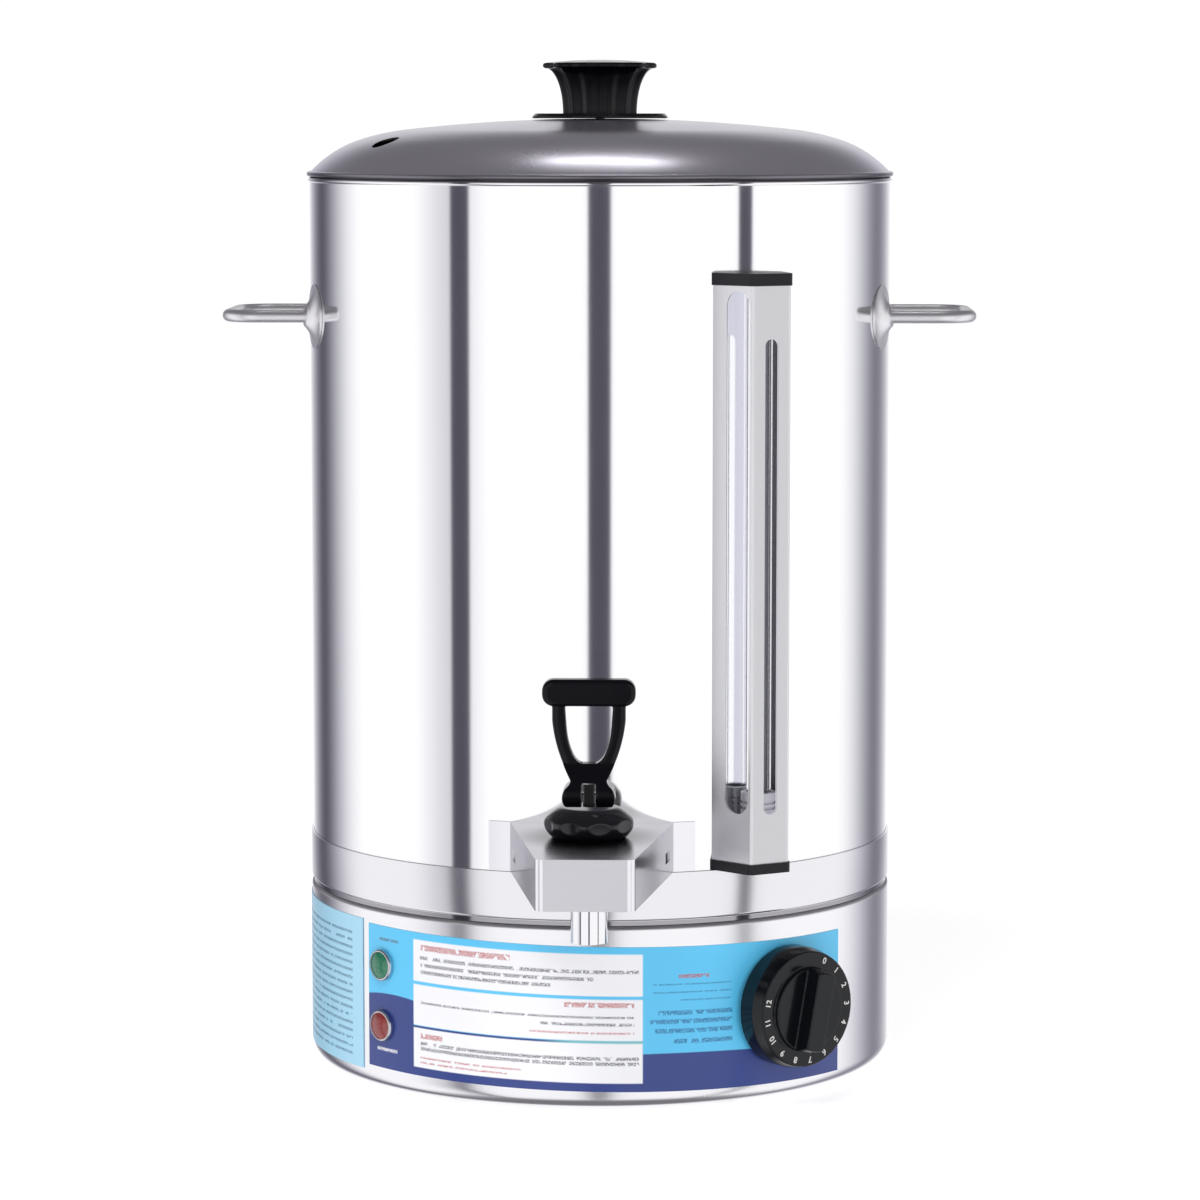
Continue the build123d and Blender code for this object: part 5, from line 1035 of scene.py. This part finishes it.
def bonnet_profile():
    """Points (reach, height) of the bonnet without its scallops."""
    points = []
    for i in range(BONNET_SIDE_STEPS + 1):
        share = i / BONNET_SIDE_STEPS
        bulge = 4 * BONNET_BULGE * share * (1 - share)
        reach = BONNET_FOOT_R + (BONNET_R - BONNET_FOOT_R) * share + bulge
        points.append((reach, BONNET_BULGE_Z * share))
    for i in range(1, BONNET_EDGE_STEPS + 1):
        share = i / BONNET_EDGE_STEPS
        reach = BONNET_R + (BONNET_SHOULDER_R - BONNET_R) * share ** 2
        points.append((reach, BONNET_BULGE_Z + (BONNET_SKIRT_H - BONNET_BULGE_Z) * share))
    for i in range(1, BONNET_CROWN_STEPS + 1):
        share = i / BONNET_CROWN_STEPS
        reach = BONNET_SHOULDER_R + (BONNET_TOP_R - BONNET_SHOULDER_R) * share
        rise = (BONNET_H - BONNET_SKIRT_H) * math.sin(share * math.pi / 2)
        points.append((reach, BONNET_SKIRT_H + rise))
    points.append((BONNET_BORE_R, BONNET_H))
    return points


def make_bonnet():
    """The tap's bonnet, whose scallops are parts of spheres."""
    dish_reach = BONNET_R + BONNET_SCALLOP_R - BONNET_SCALLOP_DEPTH
    pitch = 2 * math.pi / BONNET_SCALLOPS
    columns = []
    count = BONNET_SCALLOPS * BONNET_SCALLOP_COLUMNS
    for i in range(count):
        turn = 2 * math.pi * i / count
        # azimuth of this column, and its angle from the middle of the nearest scallop
        azimuth = turn + math.pi / 2
        off = (azimuth - BONNET_TURN_SHARE * pitch + pitch / 2) % pitch - pitch / 2
        column = []
        for reach, height in bonnet_profile():
            rise = height - BONNET_SCALLOP_Z
            square = BONNET_SCALLOP_R ** 2 - rise ** 2 - (dish_reach * math.sin(off)) ** 2
            if square > 0 and reach > BONNET_TOP_R:
                dish = dish_reach * math.cos(off) - math.sqrt(square)
                reach = soft_least(reach, dish, BONNET_SCALLOP_EASE)
            x = reach * math.cos(turn)
            y = TAP_Y + reach * math.sin(turn)
            column.append((x, y, GUARD_TOP_Z + height))
        columns.append(column)
    shape = woven(columns)
    bonnet = finish_piece(shape, "bonnet_skin", "urn", "black_plastic", "tap_bonnet", MOULD_ANGLE)
    bonnet.data.materials[0] = MATERIALS["bonnet_plastic"]


# -------------------------------------------------- lever, dial and spring
EASE_FACTOR = 0.6
LEVER_VOXEL = 0.4 * MM
LEVER_PASSES = 6
DIAL_VOXEL = 0.45 * MM
DIAL_PASSES = 3
DIAL_MARKS = 13
DIAL_MARK_START = 25.5              # clock angle of the first number
DIAL_MARK_STEP = 21.45
DIAL_MARK_REACH = 25.6 * MM         # from the dial's middle
DIAL_MARK_H = 4.4 * MM
DIAL_INK_LIFT = 0.02 * MM
DIAL_INK_T = 0.03 * MM
DIAL_INK_SPREAD = 0.08 * MM
MERGE_GAP = 0.001 * MM


def softened(node, name, body, material, voxel, passes):
    """A copy of a CAD node with its corners eased, as a moulding's are."""
    piece = copy_of(node, name)
    remesh = piece.modifiers.new("skin", "REMESH")
    remesh.mode = "VOXEL"
    remesh.voxel_size = voxel
    remesh.use_smooth_shade = True
    ease = piece.modifiers.new("ease", "SMOOTH")
    ease.factor = EASE_FACTOR
    ease.iterations = passes
    freeze(piece)
    piece.data.materials.clear()
    piece.data.materials.append(MATERIALS[material])
    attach(piece, body)
    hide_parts(node)
    return piece


def make_lever():
    """The tap's lever. It and its pin and stem leave no mirror image in the barrel."""
    lever = softened(
        "tap_lever", "lever_skin", "tap_lever", "black_plastic", LEVER_VOXEL, LEVER_PASSES
    )
    for piece in (lever, frame["nodes"]["tap_stem"], frame["nodes"]["tap_pivot_pin"]):
        piece.visible_glossy = False


def make_spring():
    """The tap's spring, copied with a mesh of its own and riding on the urn."""
    piece = copy_of("tap_spring", "spring_coil")
    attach(piece, "urn")
    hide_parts("tap_spring")
    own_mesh(piece)


def number_mesh(number):
    """One number as a thin mesh about its own middle."""
    words = bpy.data.curves.new("dial_number", "FONT")
    words.body = str(number)
    words.size = DIAL_MARK_H
    words.align_x = "CENTER"
    words.align_y = "CENTER"
    words.extrude = DIAL_INK_T
    words.offset = DIAL_INK_SPREAD
    holder = bpy.data.objects.new("dial_number", words)
    mesh = bpy.data.meshes.new_from_object(holder)
    bpy.data.objects.remove(holder)
    bpy.data.curves.remove(words)
    return mesh


def dial_numbers():
    """Plain numbers 0 to 12 printed round the dial's face."""
    turn = math.radians(DIAL_AZIMUTH)
    right = Vector((math.cos(turn), math.sin(turn), 0.0))
    out = Vector((math.sin(turn), -math.cos(turn), 0.0))
    up = Vector((0.0, 0.0, 1.0))
    middle = out * (DIAL_FACE + DIAL_INK_LIFT) + up * DIAL_Z
    shape = bmesh.new()
    for i in range(DIAL_MARKS):
        mesh = number_mesh(i)
        clock = math.radians(DIAL_MARK_START + i * DIAL_MARK_STEP)
        away = right * math.sin(clock) + up * math.cos(clock)
        across = right * math.cos(clock) - up * math.sin(clock)
        spot = middle + away * DIAL_MARK_REACH
        columns = Matrix((across, away, out)).transposed().to_4x4()
        mesh.transform(Matrix.Translation(spot) @ columns)
        shape.from_mesh(mesh)
        bpy.data.meshes.remove(mesh)
    bmesh.ops.remove_doubles(shape, verts=shape.verts, dist=MERGE_GAP)
    finish_piece(shape, "dial_numbers", "dial", "dial_print")


# -------------------------------------------------- scene
make_camera()
make_floor()
make_lights()
MATERIALS = make_materials()
dress_nodes()
make_skirt()
make_band()
make_barrel()
make_lid()
make_knob()
make_bonnet()
make_lever()
softened("thermostat_knob", "dial_skin", "dial", "dial_plastic", DIAL_VOXEL, DIAL_PASSES)
make_spring()
dial_numbers()

view_settings = bpy.context.scene.view_settings
view_settings.view_transform = "Standard"
view_settings.look = "None"
